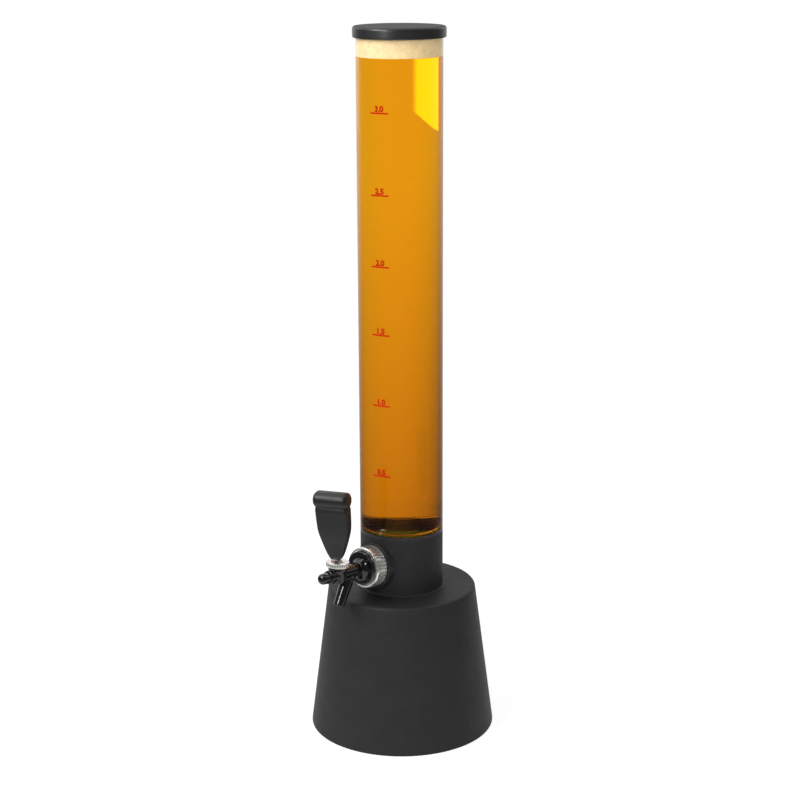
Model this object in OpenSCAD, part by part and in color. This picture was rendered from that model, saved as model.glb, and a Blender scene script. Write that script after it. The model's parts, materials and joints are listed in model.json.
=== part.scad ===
// Drink tower with a lever tap: a clear tube stands on a weighted base, and a tap at the neck pours.
// Sizes are millimetres. Z is up, the origin is the middle of the foot's underside, and the tap points
// along -Y.

/* [Tube] */
// Outer diameter of the clear tube, the neck and the cup's flange
tube_od = 95; // [80:1:120]
// Wall of the clear tube
tube_wall = 3; // [2.4:0.1:4]
// Height of the clear tube above its seam with the base
tube_h = 562.4; // [300:0.1:700]
// Depth of the tube's spigot inside the cup
spigot_h = 11.7; // [9.5:0.1:16]
// Wall of the spigot
spigot_wall = 3; // [2.5:0.1:4]

/* [Lid] */
// Outer diameter of the lid is the tube's plus this
lid_over = 7; // [5:0.1:10]
// Height of the lid
lid_h = 12.3; // [10:0.1:18]
// Height of the lid's skirt below the tube's rim
lid_drop = 8.6; // [6:0.1:9]

/* [Base] */
// Diameter of the base at the floor
base_d = 213.6; // [175:0.1:260]
// Diameter of the shoulder
shoulder_d = 169.6; // [143:0.1:208]
// Height of the shoulder
base_h = 170; // [130:1:220]
// Wall of the moulded base
shell_wall = 3; // [2.4:0.1:4]
// Thickness of the base plate
plate_t = 3; // [2.5:0.1:5]
// Thickness of the foot pad
pad_t = 2; // [1.5:0.1:4]
// Thickness of the ballast disc
ballast_t = 12; // [6:1:25]

/* [Cup] */
// Wall of the cup's socket
cup_wall = 2; // [1.6:0.1:3]
// Thickness of the cup's flange, which shows at the seam
flange_t = 3; // [2:0.1:5]
// Depth of the cup's body below its flange
cup_drop = 12.5; // [10:0.1:20]
// Outer diameter of the sump under the cup
sump_d = 32; // [26:1:40]

/* [Tap] */
// Height of the tap's axis above the shoulder
tap_rise = 35; // [29:1:60]
// Upward tilt of the tap in degrees
tap_tilt = 4; // [0:1:8]
// Distance from the neck to the lever's pivot, along the tap
pivot_reach = 60; // [60:0.1:76]
// Height of the lever's pivot above the tap's axis
pivot_rise = 9; // [8.5:0.1:12]
// Outer diameter of the barrel
barrel_d = 15.6; // [15:0.1:20]
// Diameter of the coupling nut
nut_d = 46.8; // [38:0.1:56]
// Diameter of the shank's thread
thread_d = 22; // [18:0.1:27]
// Diameter of the shank's bore
shank_bore_d = 10; // [7:0.1:12]
// Outer diameter of the spout at the barrel
spout_d = 15.4; // [14:0.1:18]
// Outer diameter of the spout at its mouth
spout_mouth_d = 12.8; // [12.4:0.1:18]
// Bore of the spout
spout_bore_d = 9; // [7:0.1:10]
// Length of the spout from the tap's axis to its mouth
spout_len = 40.5; // [28:0.1:50]
// Lean of the spout, forward from square to the tap, in degrees
spout_lean = 24.4; // [0:0.1:30]

/* [Lever] */
// Forward lean of the closed lever in degrees
lever_lean = 5.1; // [0:0.1:8]
// Swing of the lever from closed to open in degrees
lever_travel = 18; // [10:1:20]
// Diameter of the lever's ball
ball_d = 13; // [12:0.1:14]
// Diameter of the lever's stem
stem_d = 6; // [5:0.1:6.6]
// Diameter of the valve shaft
shaft_d = 6.4; // [5.6:0.1:7]
// Diameter of the knurled bonnet
bonnet_d = 26.6; // [24.6:0.1:34]
// Height of the handle
handle_h = 78.7; // [60:0.1:110]
// Greatest width of the handle
handle_w = 41; // [36:0.1:48]
// Greatest depth of the handle, at its rolled cap
handle_depth = 20.5; // [20:0.1:30]
// Turn of the handle on its stem in degrees, towards +X
handle_turn = 20; // [-30:1:30]

/* [Hidden] */

$fn = 96;
// Sides of the rounds that a hull blends
blend_sides = 32;
// Overrun of every cut past its face
over = 1;
// Gap between a soft or threaded piece and the one it fits
fit = 0.1;
// Gap between moulded pieces that slot together
slot_fit = 0.3;

// Rounds of the base: the foot's edge as a share of the wall, the shoulder and the root of the neck
rim_round_share = 0.3;
shoulder_round = 4;
root_round = 2;
// Height of the base's rim above the floor, so that the pad carries the weight
rim_lift = 0.4;

// Screws under the base
screw_r = 1.8;
screw_head_r = 3.6;
screw_head_h = 1.8;
screw_len = 16;
screw_tip = 1.2;
ballast_screw_len = 10;
screw_hole_r = screw_r + fit;
driver_slot_w = 0.9;
driver_slot_h = 0.8;

// Pillars inside the base that the base plate is screwed to
pillar_r = 5.5;
pillar_h = 40;
pillar_web = 2.5;
pillar_inset = 2.5;
pillar_count = 4;
// Ballast: its gap to the pillars, its middle hole, and the fence on the plate that centres it
ballast_gap = 9.5;
ballast_hole_r = 25;
ballast_screw_count = 3;
ballast_screw_ring_share = 0.66;
fence_t = 2.5;
fence_h = 4;
// Margin of the foot pad inside the base plate, and its holes for a screwdriver
pad_margin = 4;
pad_hole_r = 4.5;

// Tap: its inner boss on the neck and the two pieces that clamp there
boss_margin = 6;
boss_depth = 8;
inner_washer_t = 2;
inner_washer_margin = 5.5;
lock_nut_t = 6;
lock_nut_flats_share = 1.36;
saddle_margin = 3.2;
saddle_t = 2;

// Cup: gap above the boss, floor, and sump
cup_gap = 2.5;
cup_floor_t = 2.5;
cup_floor_fall = 4.5;
cup_shelf_w = 3.3;
spigot_clear = 0.3;
sump_wall = 2.5;
sump_drop = 15;
port_wall = 3.9;
port_reach = 11.5;

// Rings in grooves: section, groove width, gap to the groove and places on the spigot
ring_d = 1.85;
ring_groove_w = 2.4;
ring_squeeze = 0.025;
ring_count = 2;
ring_first = 2.6;
ring_step = 4.4;

// Tube: the ledge that sits on the cup's flange, and the break of its edges
ledge_t = 3;
tube_edge = 0.6;

// Lid: top, edge, plug ring, vent and gasket
gasket_t = 0.8;
lid_round = 2.2;
lid_foot_round = 0.8;
lid_fit = 0.4;
plug_wall = 2.6;
plug_h = 9;
vent_r = 1.5;

// Shank: flange, rear spigot and its ring
shank_flange_t = 7;
shank_thread_len = 19;
shank_end_gap = 1;
port_spigot_r = 8;
port_ring_d = 1.4;
port_groove_w = 1.9;
port_ring_inset = 6;

// Coupling: washer, body collar and nut lip
coupling_washer_t = 1;
coupling_washer_r_share = 0.41;
collar_t = 6.4;
nut_wall = 2;
lip_w = 1.8;
lip_t = 2;
nut_bevel = 1;
nut_flutes = 36;
flute_r = 1.1;
flute_depth = 0.35;
disc_gap = 0.3;
disc_rise = 4.5;
cone_len = 5;
cone_flare = 5;

// Valve: rear chamber, seat, spout chamber, web and gland
seat_gap = 2.5;
rear_chamber_r = 8.6;
seat_t = 3.5;
seat_hole_r = 5.2;
chamber_r = 6.3;
web_t = 3;
gland_lead = 11.7;
gland_t = 3;
shaft_bore_r = 4.9;
shaft_fit = 0.15;
spout_back = 6;
spout_bore_start = 6.5;
valve_washer_r = 7;
valve_washer_t = 2;
valve_nut_flats = 9;
valve_nut_t = 2.5;
shaft_stud = 0.5;

// Lever block, ball socket and nose
block_r = 9.4;
block_drop = 8;
block_round = 1.5;
collar_r = 10.4;
collar_foot = 4;
collar_flare = 2;
socket_floor = 4.8;
seat_contact = 3;
washer_contact = 3.2;
ball_gap = 0.1;
ball_seat_root_r = 5;
pin_well_r = 5;
friction_washer_t = 2;
friction_washer_r = 8.1;
collar_top_gap = 0.2;
bonnet_t = 1.5;
bonnet_skirt = 3.4;
bonnet_flutes = 30;
bonnet_flute_r = 0.9;
bonnet_flute_depth = 0.5;
bonnet_bevel = 0.7;
stem_clear = 0.5;
barrel_past_pivot = 15;
barrel_edge = 0.8;
nose_len = 13;
nose_r = 6.2;
nose_round = 5;
nose_spigot_r = 5.6;
nose_lead = 0.6;
nose_ring_d = 1;
nose_groove_w = 1.4;
nose_end_t = 3.5;

// Lever: pin under the ball, its tip and the pocket that it sits in
pin_r = 1.4;
pin_tip_r = 1.9;
pocket_clear = 0.2;
pocket_floor = 0.3;
cut_clear = 1;
handle_start = 11.4;
insert_r = 4.6;
insert_start = 1;
insert_len = 18;
insert_thread_clear = 0.05;
stem_end_gap = 1.5;
handle_corner_share = 0.22;
handle_cap_round = 8.6;
handle_cap_h = 18;
handle_end_round = 4.5;
handle_end_steps = 5;
handle_slice = 0.2;
// Height, width and depth of the handle's sections, as shares of its greatest ones
handle_section_shares = [
    [0, 0.293, 0.537],
    [0.06, 0.42, 0.576],
    [0.146, 0.551, 0.624],
    [0.233, 0.668, 0.654],
    [0.32, 0.763, 0.712],
    [0.407, 0.851, 0.751],
    [0.494, 0.895, 0.761],
    [0.625, 0.92, 0.771],
    [0.745, 0.932, 0.78],
    [0.79, 0.932, 0.62],
    [0.85, 0.92, 0.56]
];

// Radii and levels of the base
neck_r = tube_od / 2;
neck_bore_r = neck_r - shell_wall;
wall_slope = (base_d - shoulder_d) / 2 / base_h;
wall_angle = atan(wall_slope);
plate_top = pad_t + plate_t;
pillar_ring_r = inner_r(plate_top) - pillar_r - pillar_inset;
ballast_r = pillar_ring_r - pillar_r - ballast_gap;
ballast_screw_ring_r = ballast_r * ballast_screw_ring_share;
shoulder_z = base_h;

// Round of the foot's edge, within the wall
rim_round = shell_wall * rim_round_share;

// Levels of the neck, the cup and the tube
tap_z = shoulder_z + tap_rise;
boss_r = thread_d / 2 + boss_margin;
cup_bottom = tap_z + boss_r + cup_gap;
neck_top = cup_bottom + cup_drop;
seam_z = neck_top + flange_t;
rim_z = seam_z + tube_h;

// Radii of the cup, the spigot and the tube
cup_r = neck_bore_r - 2 * fit;
socket_r = cup_r - cup_wall;
socket_floor_z = seam_z - spigot_h - slot_fit;
sump_r = sump_d / 2;
sump_bore_r = sump_r - sump_wall;
sump_bottom = tap_z - sump_drop;
spigot_r = socket_r - spigot_clear;
spigot_bore_r = spigot_r - spigot_wall;
tube_bore_r = neck_r - tube_wall;
groove_r = socket_r - ring_d - 2 * ring_squeeze;

// Levels and radii of the lid
lid_r = neck_r + lid_over / 2;
lid_bottom = rim_z - lid_drop;
lid_top = lid_bottom + lid_h;
lid_ceiling = rim_z + gasket_t;
lid_bore_r = neck_r + lid_fit;
plug_r = tube_bore_r - lid_fit;

// Stations along the tap, measured forward from the neck
shank_front = saddle_t + shank_flange_t;
body_back = shank_front + coupling_washer_t;
collar_front = body_back + collar_t;
lip_back = collar_front + fit;
nut_front = lip_back + lip_t;
seat_back = nut_front + seat_gap;
seat_front = seat_back + seat_t;
gland_back = pivot_reach - gland_lead;
web_back = gland_back - web_t;
spout_a = web_back - spout_back;
barrel_end = pivot_reach + barrel_past_pivot;
nose_end = barrel_end + nose_len;
washer_back = -boss_depth - inner_washer_t;
lock_nut_back = washer_back - lock_nut_t;
shank_end = -(neck_r - sump_bore_r) + shank_end_gap;
port_front = -(neck_r - sump_r) + port_reach;
port_ring_a = port_front - port_ring_inset;

// Radii of the tap
thread_r = thread_d / 2;
thread_hole_r = thread_r + slot_fit;
nut_r = nut_d / 2;
nut_bore_r = nut_r - nut_wall;
shank_flange_r = nut_bore_r - 2 * fit;
nut_mouth_r = nut_bore_r - lip_w;
body_collar_r = nut_bore_r - disc_gap;
disc_r = nut_mouth_r - disc_gap;
disc_front = nut_front + disc_rise;
barrel_r = barrel_d / 2;
saddle_r = nut_r + saddle_margin;
port_bore_r = port_spigot_r + fit;
port_r = port_bore_r + port_wall;
port_groove_r = port_bore_r - port_ring_d - 2 * ring_squeeze;
nose_bore_r = nose_spigot_r + fit;
nose_groove_r = nose_bore_r - nose_ring_d - 2 * ring_squeeze;

// Lever and valve
ball_r = ball_d / 2;
stem_r = stem_d / 2;
shaft_r = shaft_d / 2;
closed_angle = lever_lean + tap_tilt;
open_angle = closed_angle + lever_travel;
arm = pivot_rise;
valve_travel = arm * (sin(open_angle) - sin(closed_angle));
tip_a = pivot_reach - arm * sin(closed_angle);
tip_b = pivot_rise - arm * cos(closed_angle);
collar_top = pivot_rise + washer_contact + friction_washer_t - collar_top_gap;
bonnet_ceiling = pivot_rise + washer_contact + friction_washer_t + fit;
bonnet_top = bonnet_ceiling + bonnet_t;
bonnet_bottom = bonnet_ceiling - bonnet_skirt;
bonnet_r = bonnet_d / 2;
nose_spigot_h = barrel_past_pivot - ball_r - nose_lead;
shaft_cut_b = pivot_rise - ball_r - cut_clear;
ball_on_shaft = sqrt(pow(ball_r, 2) - pow(pivot_rise - shaft_r, 2));
shaft_cut_front = pivot_reach + ball_on_shaft + valve_travel + cut_clear;
shaft_cut_back = tip_a - pin_tip_r - cut_clear - pocket_clear;
insert_z = handle_start + insert_start;

// Outer radius of the base at a height
function outer_r(z) = base_d / 2 - wall_slope * z;

// Radius of the base's inner face at a height
function inner_r(z) = outer_r(z) - shell_wall / cos(wall_angle);

// Radius of the ball at a height above or below its centre
function ball_r_at(h) = sqrt(pow(ball_r, 2) - pow(h, 2));

// How far forward the open lever's stem reaches at a height above the pivot
function stem_reach(h) = h * tan(open_angle) + stem_r / cos(open_angle);

// Rounds the corner p of a flat outline. e1 and e2 are the directions of the edges that leave it.
module round_off(p, e1, e2, r) {
    half = acos(e1 * e2) / 2;
    run = r / tan(half);
    inward = (e1 + e2) / norm(e1 + e2);
    centre = p + inward * r / sin(half);
    q1 = p + e1 * run;
    q2 = p + e2 * run;
    difference() {
        polygon([q1, q1 - inward * r, q2 - inward * r, q2, centre]);
        translate(centre) circle(r);
    }
}

// A tube or a disc with a hole, standing on the XY plane
module ring(r_out, r_in, h) {
    difference() {
        cylinder(r = r_out, h = h);
        translate([0, 0, -over]) cylinder(r = r_in, h = h + 2 * over);
    }
}

// A round ring of a round section, level, with its middle at the origin
module o_ring(r_in, d) {
    rotate_extrude() translate([r_in + ring_squeeze + d / 2, 0]) circle(d = d, $fn = 48);
}

// Copies its child to places spread evenly round the tower
module around(count, r, start = 0) {
    for (i = [0:count - 1]) {
        rotate([0, 0, start + i * 360 / count]) translate([r, 0, 0]) children();
    }
}

// Puts its child on the tap: the origin goes to the neck's face, and -Y points along the tap
module at_tap() {
    translate([0, -neck_r, tap_z]) rotate([-tap_tilt, 0, 0]) children();
}

// Puts its child on the tap's axis at station a, so that the child's Z points forward and its Y up
module on_axis(a = 0) {
    translate([0, -a, 0]) rotate([90, 0, 0]) children();
}

// Puts its child on the lever: the origin goes to the pivot, and Z points up the stem
module at_lever() {
    at_tap() translate([0, -pivot_reach, pivot_rise]) rotate([closed_angle, 0, 0]) children();
}

// Puts its child at the top of the spout's axis, so that the child's Z points down the spout
module at_spout() {
    at_tap() translate([0, -spout_a, 0]) rotate([180 - spout_lean, 0, 0]) children();
}

// A countersunk screw that points up, with its head's face on the XY plane
module screw(len) {
    difference() {
        union() {
            cylinder(r1 = screw_head_r, r2 = screw_r, h = screw_head_h);
            cylinder(r = screw_r, h = len - screw_tip);
            translate([0, 0, len - screw_tip]) cylinder(r1 = screw_r, r2 = screw_r / 2, h = screw_tip);
        }
        for (turn = [0, 90]) {
            rotate([0, 0, turn])
                translate([-screw_head_r / 2, -driver_slot_w / 2, -over])
                    cube([screw_head_r, driver_slot_w, driver_slot_h + over]);
        }
    }
}

// The hole in the base plate for such a screw
module screw_hole() {
    translate([0, 0, -over]) cylinder(r = screw_hole_r, h = plate_t + 2 * over);
    cylinder(r1 = screw_head_r + 2 * fit, r2 = screw_hole_r, h = screw_head_h + fit);
    translate([0, 0, -over]) cylinder(r = screw_head_r + 2 * fit, h = over);
}

// Half outline of the base's outer form, solid to the axis
module base_outline() {
    wall_up = [-sin(wall_angle), cos(wall_angle)];
    rim = [outer_r(rim_lift), rim_lift];
    shoulder = [outer_r(shoulder_z), shoulder_z];
    difference() {
        polygon([
            [0, rim_lift],
            rim,
            shoulder,
            [neck_r, shoulder_z],
            [neck_r, neck_top],
            [0, neck_top]
        ]);
        round_off(rim, [-1, 0], wall_up, rim_round);
        round_off(shoulder, [-1, 0], -wall_up, shoulder_round);
    }
    difference() {
        translate([neck_r - over, shoulder_z - over]) square(root_round + over);
        translate([neck_r + root_round, shoulder_z + root_round]) circle(root_round);
    }
}

// Half outline of the hollow in the base and the neck
module base_hollow() {
    ceiling = shoulder_z - shell_wall;
    polygon([
        [0, rim_lift - over],
        [inner_r(rim_lift - over), rim_lift - over],
        [inner_r(ceiling), ceiling],
        [neck_bore_r, ceiling],
        [neck_bore_r, neck_top + over],
        [0, neck_top + over]
    ]);
}

// Moulded base with its sloping skirt, flat shoulder and neck
module base_shell() {
    color("#2b2b2d") difference() {
        union() {
            rotate_extrude() difference() {
                base_outline();
                base_hollow();
            }
            intersection() {
                rotate_extrude() base_outline();
                around(pillar_count, pillar_ring_r, 45) translate([0, 0, plate_top]) {
                    cylinder(r = pillar_r, h = pillar_h);
                    translate([0, -pillar_web / 2, 0])
                        cube([inner_r(0) - pillar_ring_r + shell_wall / 2, pillar_web, pillar_h]);
                }
            }
            intersection() {
                translate([0, 0, shoulder_z])
                    cylinder(r = neck_r - shell_wall / 2, h = neck_top - shoulder_z);
                at_tap() on_axis(-boss_depth) cylinder(r = boss_r, h = boss_depth);
            }
        }
        at_tap() on_axis(-boss_depth - over) cylinder(r = thread_hole_r, h = boss_depth + 2 * over);
        around(pillar_count, pillar_ring_r, 45) translate([0, 0, plate_top - over])
            cylinder(r = screw_hole_r, h = screw_len + over);
    }
}

// Plate that closes the base, with a fence that centres the ballast
module base_plate() {
    color("#242426") translate([0, 0, pad_t]) difference() {
        union() {
            cylinder(r = inner_r(pad_t + plate_t) - slot_fit, h = plate_t);
            translate([0, 0, plate_t - fit])
                ring(ballast_r + slot_fit + fence_t, ballast_r + slot_fit, fence_h + fit);
        }
        around(pillar_count, pillar_ring_r, 45) screw_hole();
        around(ballast_screw_count, ballast_screw_ring_r, 90) screw_hole();
    }
}

// Four screws that hold the base plate to the pillars
module base_screws() {
    color("#8d9094") around(pillar_count, pillar_ring_r, 45) translate([0, 0, pad_t]) screw(screw_len);
}

// Soft pad that the tower stands on
module foot_pad() {
    color("#1b1b1c") difference() {
        cylinder(r = inner_r(pad_t) - pad_margin, h = pad_t);
        around(pillar_count, pillar_ring_r, 45) translate([0, 0, -over])
            cylinder(r = pad_hole_r, h = pad_t + 2 * over);
    }
}

// Iron disc that keeps the tall tower from tipping
module ballast_disc() {
    color("#4a4a4c") translate([0, 0, plate_top]) difference() {
        ring(ballast_r, ballast_hole_r, ballast_t);
        around(ballast_screw_count, ballast_screw_ring_r, 90) translate([0, 0, -over])
            cylinder(r = screw_hole_r, h = ballast_screw_len);
    }
}

// Three screws that hold the ballast to the base plate
module ballast_screws() {
    color("#8d9094") around(ballast_screw_count, ballast_screw_ring_r, 90) translate([0, 0, pad_t])
        screw(ballast_screw_len);
}

// Cup in the neck: it carries the tube and drains into a sump that the tap draws from
module reservoir_cup() {
    floor_top = socket_floor_z - cup_floor_fall;
    floor_under = floor_top - cup_floor_t;
    color("#1f1f21") difference() {
        union() {
            rotate_extrude() polygon([
                [0, sump_bottom],
                [sump_r, sump_bottom],
                [sump_r, floor_under],
                [cup_r, cup_bottom],
                [cup_r, neck_top],
                [neck_r, neck_top],
                [neck_r, seam_z],
                [0, seam_z]
            ]);
            at_tap() on_axis(-neck_r) cylinder(r = port_r, h = neck_r + port_front);
        }
        rotate_extrude() polygon([
            [0, sump_bottom + sump_wall],
            [sump_bore_r, sump_bottom + sump_wall],
            [sump_bore_r, floor_top],
            [socket_r - cup_shelf_w, socket_floor_z],
            [socket_r, socket_floor_z],
            [socket_r, seam_z + over],
            [0, seam_z + over]
        ]);
        at_tap() on_axis(-neck_r) cylinder(r = port_bore_r, h = neck_r + port_front + over);
    }
}

// Clear tube with a ledge on the seam and a grooved spigot below it
module clear_tube() {
    color([0.9, 0.92, 0.93, 0.35]) difference() {
        rotate_extrude() difference() {
            polygon([
                [spigot_bore_r, seam_z - spigot_h],
                [spigot_r - tube_edge, seam_z - spigot_h],
                [spigot_r, seam_z - spigot_h + tube_edge],
                [spigot_r, seam_z],
                [neck_r, seam_z],
                [neck_r, rim_z - tube_edge],
                [neck_r - tube_edge, rim_z],
                [tube_bore_r, rim_z],
                [tube_bore_r, seam_z + ledge_t],
                [spigot_bore_r, seam_z + ledge_t]
            ]);
            for (i = [0:ring_count - 1]) {
                translate([groove_r, seam_z - ring_first - i * ring_step - ring_groove_w])
                    square([spigot_r - groove_r + over, ring_groove_w]);
            }
        }
    }
}

// Two rings that seal the spigot in the cup
module tube_o_rings() {
    color("#17171a") for (i = [0:ring_count - 1]) {
        translate([0, 0, seam_z - ring_first - i * ring_step - ring_groove_w / 2]) o_ring(groove_r, ring_d);
    }
}

// Threaded shank that carries the tap through the neck and reaches into the sump's port
module tap_shank() {
    color("#c9ccd0") at_tap() difference() {
        rotate([90, 0, 0]) rotate_extrude() difference() {
            polygon([
                [shank_bore_d / 2, shank_end],
                [port_spigot_r, shank_end],
                [port_spigot_r, -shank_thread_len],
                [thread_r, -shank_thread_len],
                [thread_r, saddle_t],
                [shank_flange_r, saddle_t],
                [shank_flange_r, shank_front],
                [shank_bore_d / 2, shank_front]
            ]);
            translate([port_groove_r, port_ring_a - port_groove_w / 2])
                square([port_spigot_r - port_groove_r + over, port_groove_w]);
        }
    }
}

// Ring that seals the shank in the sump's port
module shank_o_ring() {
    color("#17171a") at_tap() on_axis(port_ring_a) o_ring(port_groove_r, port_ring_d);
}

// Washer with a curved back that seats the tap on the round neck
module saddle_washer() {
    color("#1d1d1f") difference() {
        at_tap() on_axis(-neck_r / 2) cylinder(r = saddle_r, h = neck_r / 2 + saddle_t);
        at_tap() on_axis(-neck_r) cylinder(r = thread_hole_r, h = neck_r + saddle_t + over);
        translate([0, 0, shoulder_z]) cylinder(r = neck_r + fit, h = 2 * (tap_z - shoulder_z));
    }
}

// Flat washer between the neck's inner boss and the lock nut
module inner_washer() {
    color("#17171a") at_tap() on_axis(washer_back)
        ring(thread_r + inner_washer_margin, thread_hole_r, inner_washer_t);
}

// Nut that clamps the shank from inside the neck, with a flat uppermost
module lock_nut() {
    color("#b9bcc0") at_tap() on_axis(lock_nut_back) difference() {
        cylinder(r = thread_r * lock_nut_flats_share / cos(30), h = lock_nut_t, $fn = 6);
        translate([0, 0, -over]) cylinder(r = thread_r + fit, h = lock_nut_t + 2 * over);
    }
}

// Bright nut that pulls the tap's collar onto the shank
module coupling_nut() {
    color("#d6d8dc") at_tap() difference() {
        rotate([90, 0, 0]) rotate_extrude() polygon([
            [nut_bore_r, saddle_t + fit],
            [nut_r - nut_bevel, saddle_t + fit],
            [nut_r, saddle_t + fit + nut_bevel],
            [nut_r, nut_front - nut_bevel],
            [nut_r - nut_bevel, nut_front],
            [nut_mouth_r, nut_front],
            [nut_mouth_r, lip_back],
            [nut_bore_r, lip_back]
        ]);
        on_axis(saddle_t + 2 * nut_bevel) for (i = [0:nut_flutes - 1]) {
            rotate([0, 0, i * 360 / nut_flutes]) translate([nut_r + flute_r - flute_depth, 0, 0])
                cylinder(r = flute_r, h = nut_front - saddle_t - 4 * nut_bevel, $fn = 24);
        }
    }
}

// Washer that seals the tap's body against the shank
module coupling_washer() {
    color("#17171a") at_tap() on_axis(shank_front)
        ring(body_collar_r, nut_r * coupling_washer_r_share, coupling_washer_t);
}

// Tap body: collar, barrel, lever block and spout in one casting
module faucet_body() {
    socket_z = pivot_rise - socket_floor;
    washer_z = pivot_rise + washer_contact;
    color("#161617") difference() {
        union() {
            at_tap() rotate([90, 0, 0]) rotate_extrude() polygon([
                [0, body_back],
                [body_collar_r, body_back],
                [body_collar_r, collar_front],
                [disc_r, collar_front],
                [disc_r, disc_front - barrel_edge],
                [disc_r - barrel_edge, disc_front],
                [barrel_r + cone_flare, disc_front],
                [barrel_r, disc_front + cone_len],
                [barrel_r, barrel_end - barrel_edge],
                [barrel_r - barrel_edge, barrel_end],
                [0, barrel_end]
            ]);
            at_tap() translate([0, -pivot_reach, 0]) rotate_extrude() difference() {
                polygon([
                    [0, -block_drop],
                    [block_r, -block_drop],
                    [block_r, collar_foot],
                    [collar_r, collar_foot + collar_flare],
                    [collar_r, collar_top],
                    [0, collar_top]
                ]);
                round_off([block_r, -block_drop], [-1, 0], [0, 1], block_round);
            }
            at_spout() cylinder(d1 = spout_d, d2 = spout_mouth_d, h = spout_len);
        }
        at_tap() rotate([90, 0, 0]) rotate_extrude() polygon([
            [0, body_back - over],
            [rear_chamber_r, body_back - over],
            [rear_chamber_r, seat_back],
            [seat_hole_r, seat_back],
            [seat_hole_r, seat_front],
            [chamber_r, seat_front],
            [chamber_r, web_back],
            [shaft_r + shaft_fit, web_back],
            [shaft_r + shaft_fit, gland_back],
            [shaft_bore_r, gland_back],
            [shaft_bore_r, barrel_end - nose_spigot_h - fit],
            [nose_bore_r, barrel_end - nose_spigot_h - fit],
            [nose_bore_r, barrel_end + over],
            [0, barrel_end + over]
        ]);
        at_tap() translate([0, -pivot_reach, 0]) {
            cylinder(r = pin_well_r, h = socket_z + over);
            translate([0, 0, socket_z]) cylinder(r = ball_r + ball_gap, h = collar_top);
            translate([0, 0, washer_z]) cylinder(r = friction_washer_r + fit, h = collar_top);
        }
        at_spout() translate([0, 0, spout_bore_start]) cylinder(d = spout_bore_d, h = spout_len);
    }
}

// Seal round the valve shaft, between the spout's chamber and the lever
module gland_seal() {
    color("#17171a") at_tap() on_axis(gland_back) ring(shaft_bore_r - fit, shaft_r + fit, gland_t);
}

// Rounded plug that closes the barrel's front and guides the shaft
module nose_cap() {
    color("#1a1a1b") at_tap() rotate([90, 0, 0]) rotate_extrude() difference() {
        polygon([
            [0, barrel_end - nose_spigot_h],
            [nose_spigot_r, barrel_end - nose_spigot_h],
            [nose_spigot_r, barrel_end + fit],
            [nose_r, barrel_end + fit],
            [nose_r, nose_end],
            [0, nose_end]
        ]);
        round_off([nose_r, nose_end], [-1, 0], [0, -1], nose_round);
        translate([0, barrel_end - nose_spigot_h - over])
            square([shaft_r + fit, nose_spigot_h + nose_len - nose_end_t + over]);
        translate([nose_groove_r, barrel_end - nose_spigot_h / 2 - nose_groove_w / 2])
            square([nose_spigot_r - nose_groove_r + over, nose_groove_w]);
    }
}

// Ring that seals the nose cap in the barrel
module nose_o_ring() {
    color("#17171a") at_tap() on_axis(barrel_end - nose_spigot_h / 2) o_ring(nose_groove_r, nose_ring_d);
}

// Ring under the lever's ball that carries it
module ball_seat() {
    bottom = pivot_rise - socket_floor;
    top = pivot_rise - seat_contact;
    color("#e8e6df") at_tap() translate([0, -pivot_reach, 0]) rotate_extrude() polygon([
        [ball_seat_root_r, bottom],
        [ball_r, bottom],
        [ball_r, top],
        [ball_r_at(seat_contact) + ball_gap, top]
    ]);
}

// Ring on top of the ball that gives the lever its drag
module friction_washer() {
    bottom = pivot_rise + washer_contact;
    top = bottom + friction_washer_t;
    color("#e8e6df") at_tap() translate([0, -pivot_reach, 0]) rotate_extrude() polygon([
        [ball_r_at(washer_contact) + ball_gap, bottom],
        [friction_washer_r, bottom],
        [friction_washer_r, top],
        [stem_reach(washer_contact + friction_washer_t) + stem_clear, top]
    ]);
}

// Knurled nut that holds the ball down in its socket
module bonnet() {
    bore = stem_reach(bonnet_ceiling - pivot_rise) + stem_clear;
    mouth = stem_reach(bonnet_top - pivot_rise) + stem_clear;
    color("#d6d8dc") at_tap() translate([0, -pivot_reach, 0]) difference() {
        rotate_extrude() polygon([
            [collar_r + fit, bonnet_bottom],
            [bonnet_r, bonnet_bottom],
            [bonnet_r, bonnet_top - bonnet_bevel],
            [bonnet_r - bonnet_bevel, bonnet_top],
            [mouth, bonnet_top],
            [bore, bonnet_ceiling],
            [collar_r + fit, bonnet_ceiling]
        ]);
        for (i = [0:bonnet_flutes - 1]) {
            rotate([0, 0, i * 360 / bonnet_flutes])
                translate([bonnet_r + bonnet_flute_r - bonnet_flute_depth, 0, bonnet_bottom + bonnet_bevel])
                    cylinder(r = bonnet_flute_r, h = bonnet_top - bonnet_bottom, $fn = 24);
        }
    }
}

// Shaft that the lever slides back to open the valve
module valve_shaft() {
    rear = seat_back - fit - valve_washer_t - valve_nut_t - shaft_stud;
    front = nose_end - nose_end_t - slot_fit;
    color("#c9ccd0") at_tap() difference() {
        on_axis(rear) cylinder(r = shaft_r, h = front - rear);
        translate([-shaft_d, -shaft_cut_front, shaft_cut_b])
            cube([2 * shaft_d, shaft_cut_front - shaft_cut_back, shaft_d]);
        translate([0, -tip_a, tip_b - pin_tip_r - pocket_floor])
            cylinder(r = pin_tip_r + pocket_clear, h = shaft_d);
    }
}

// Soft disc that shuts the seat from behind
module valve_washer() {
    color("#17171a") at_tap() on_axis(seat_back - fit - valve_washer_t)
        ring(valve_washer_r, shaft_r + fit / 2, valve_washer_t);
}

// Nut that holds the soft disc on the shaft
module valve_nut() {
    color("#b9bcc0") at_tap() on_axis(seat_back - fit - valve_washer_t - valve_nut_t) difference() {
        cylinder(r = valve_nut_flats / 2 / cos(30), h = valve_nut_t, $fn = 6);
        translate([0, 0, -over]) cylinder(r = shaft_r + fit / 2, h = valve_nut_t + 2 * over);
    }
}

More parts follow.
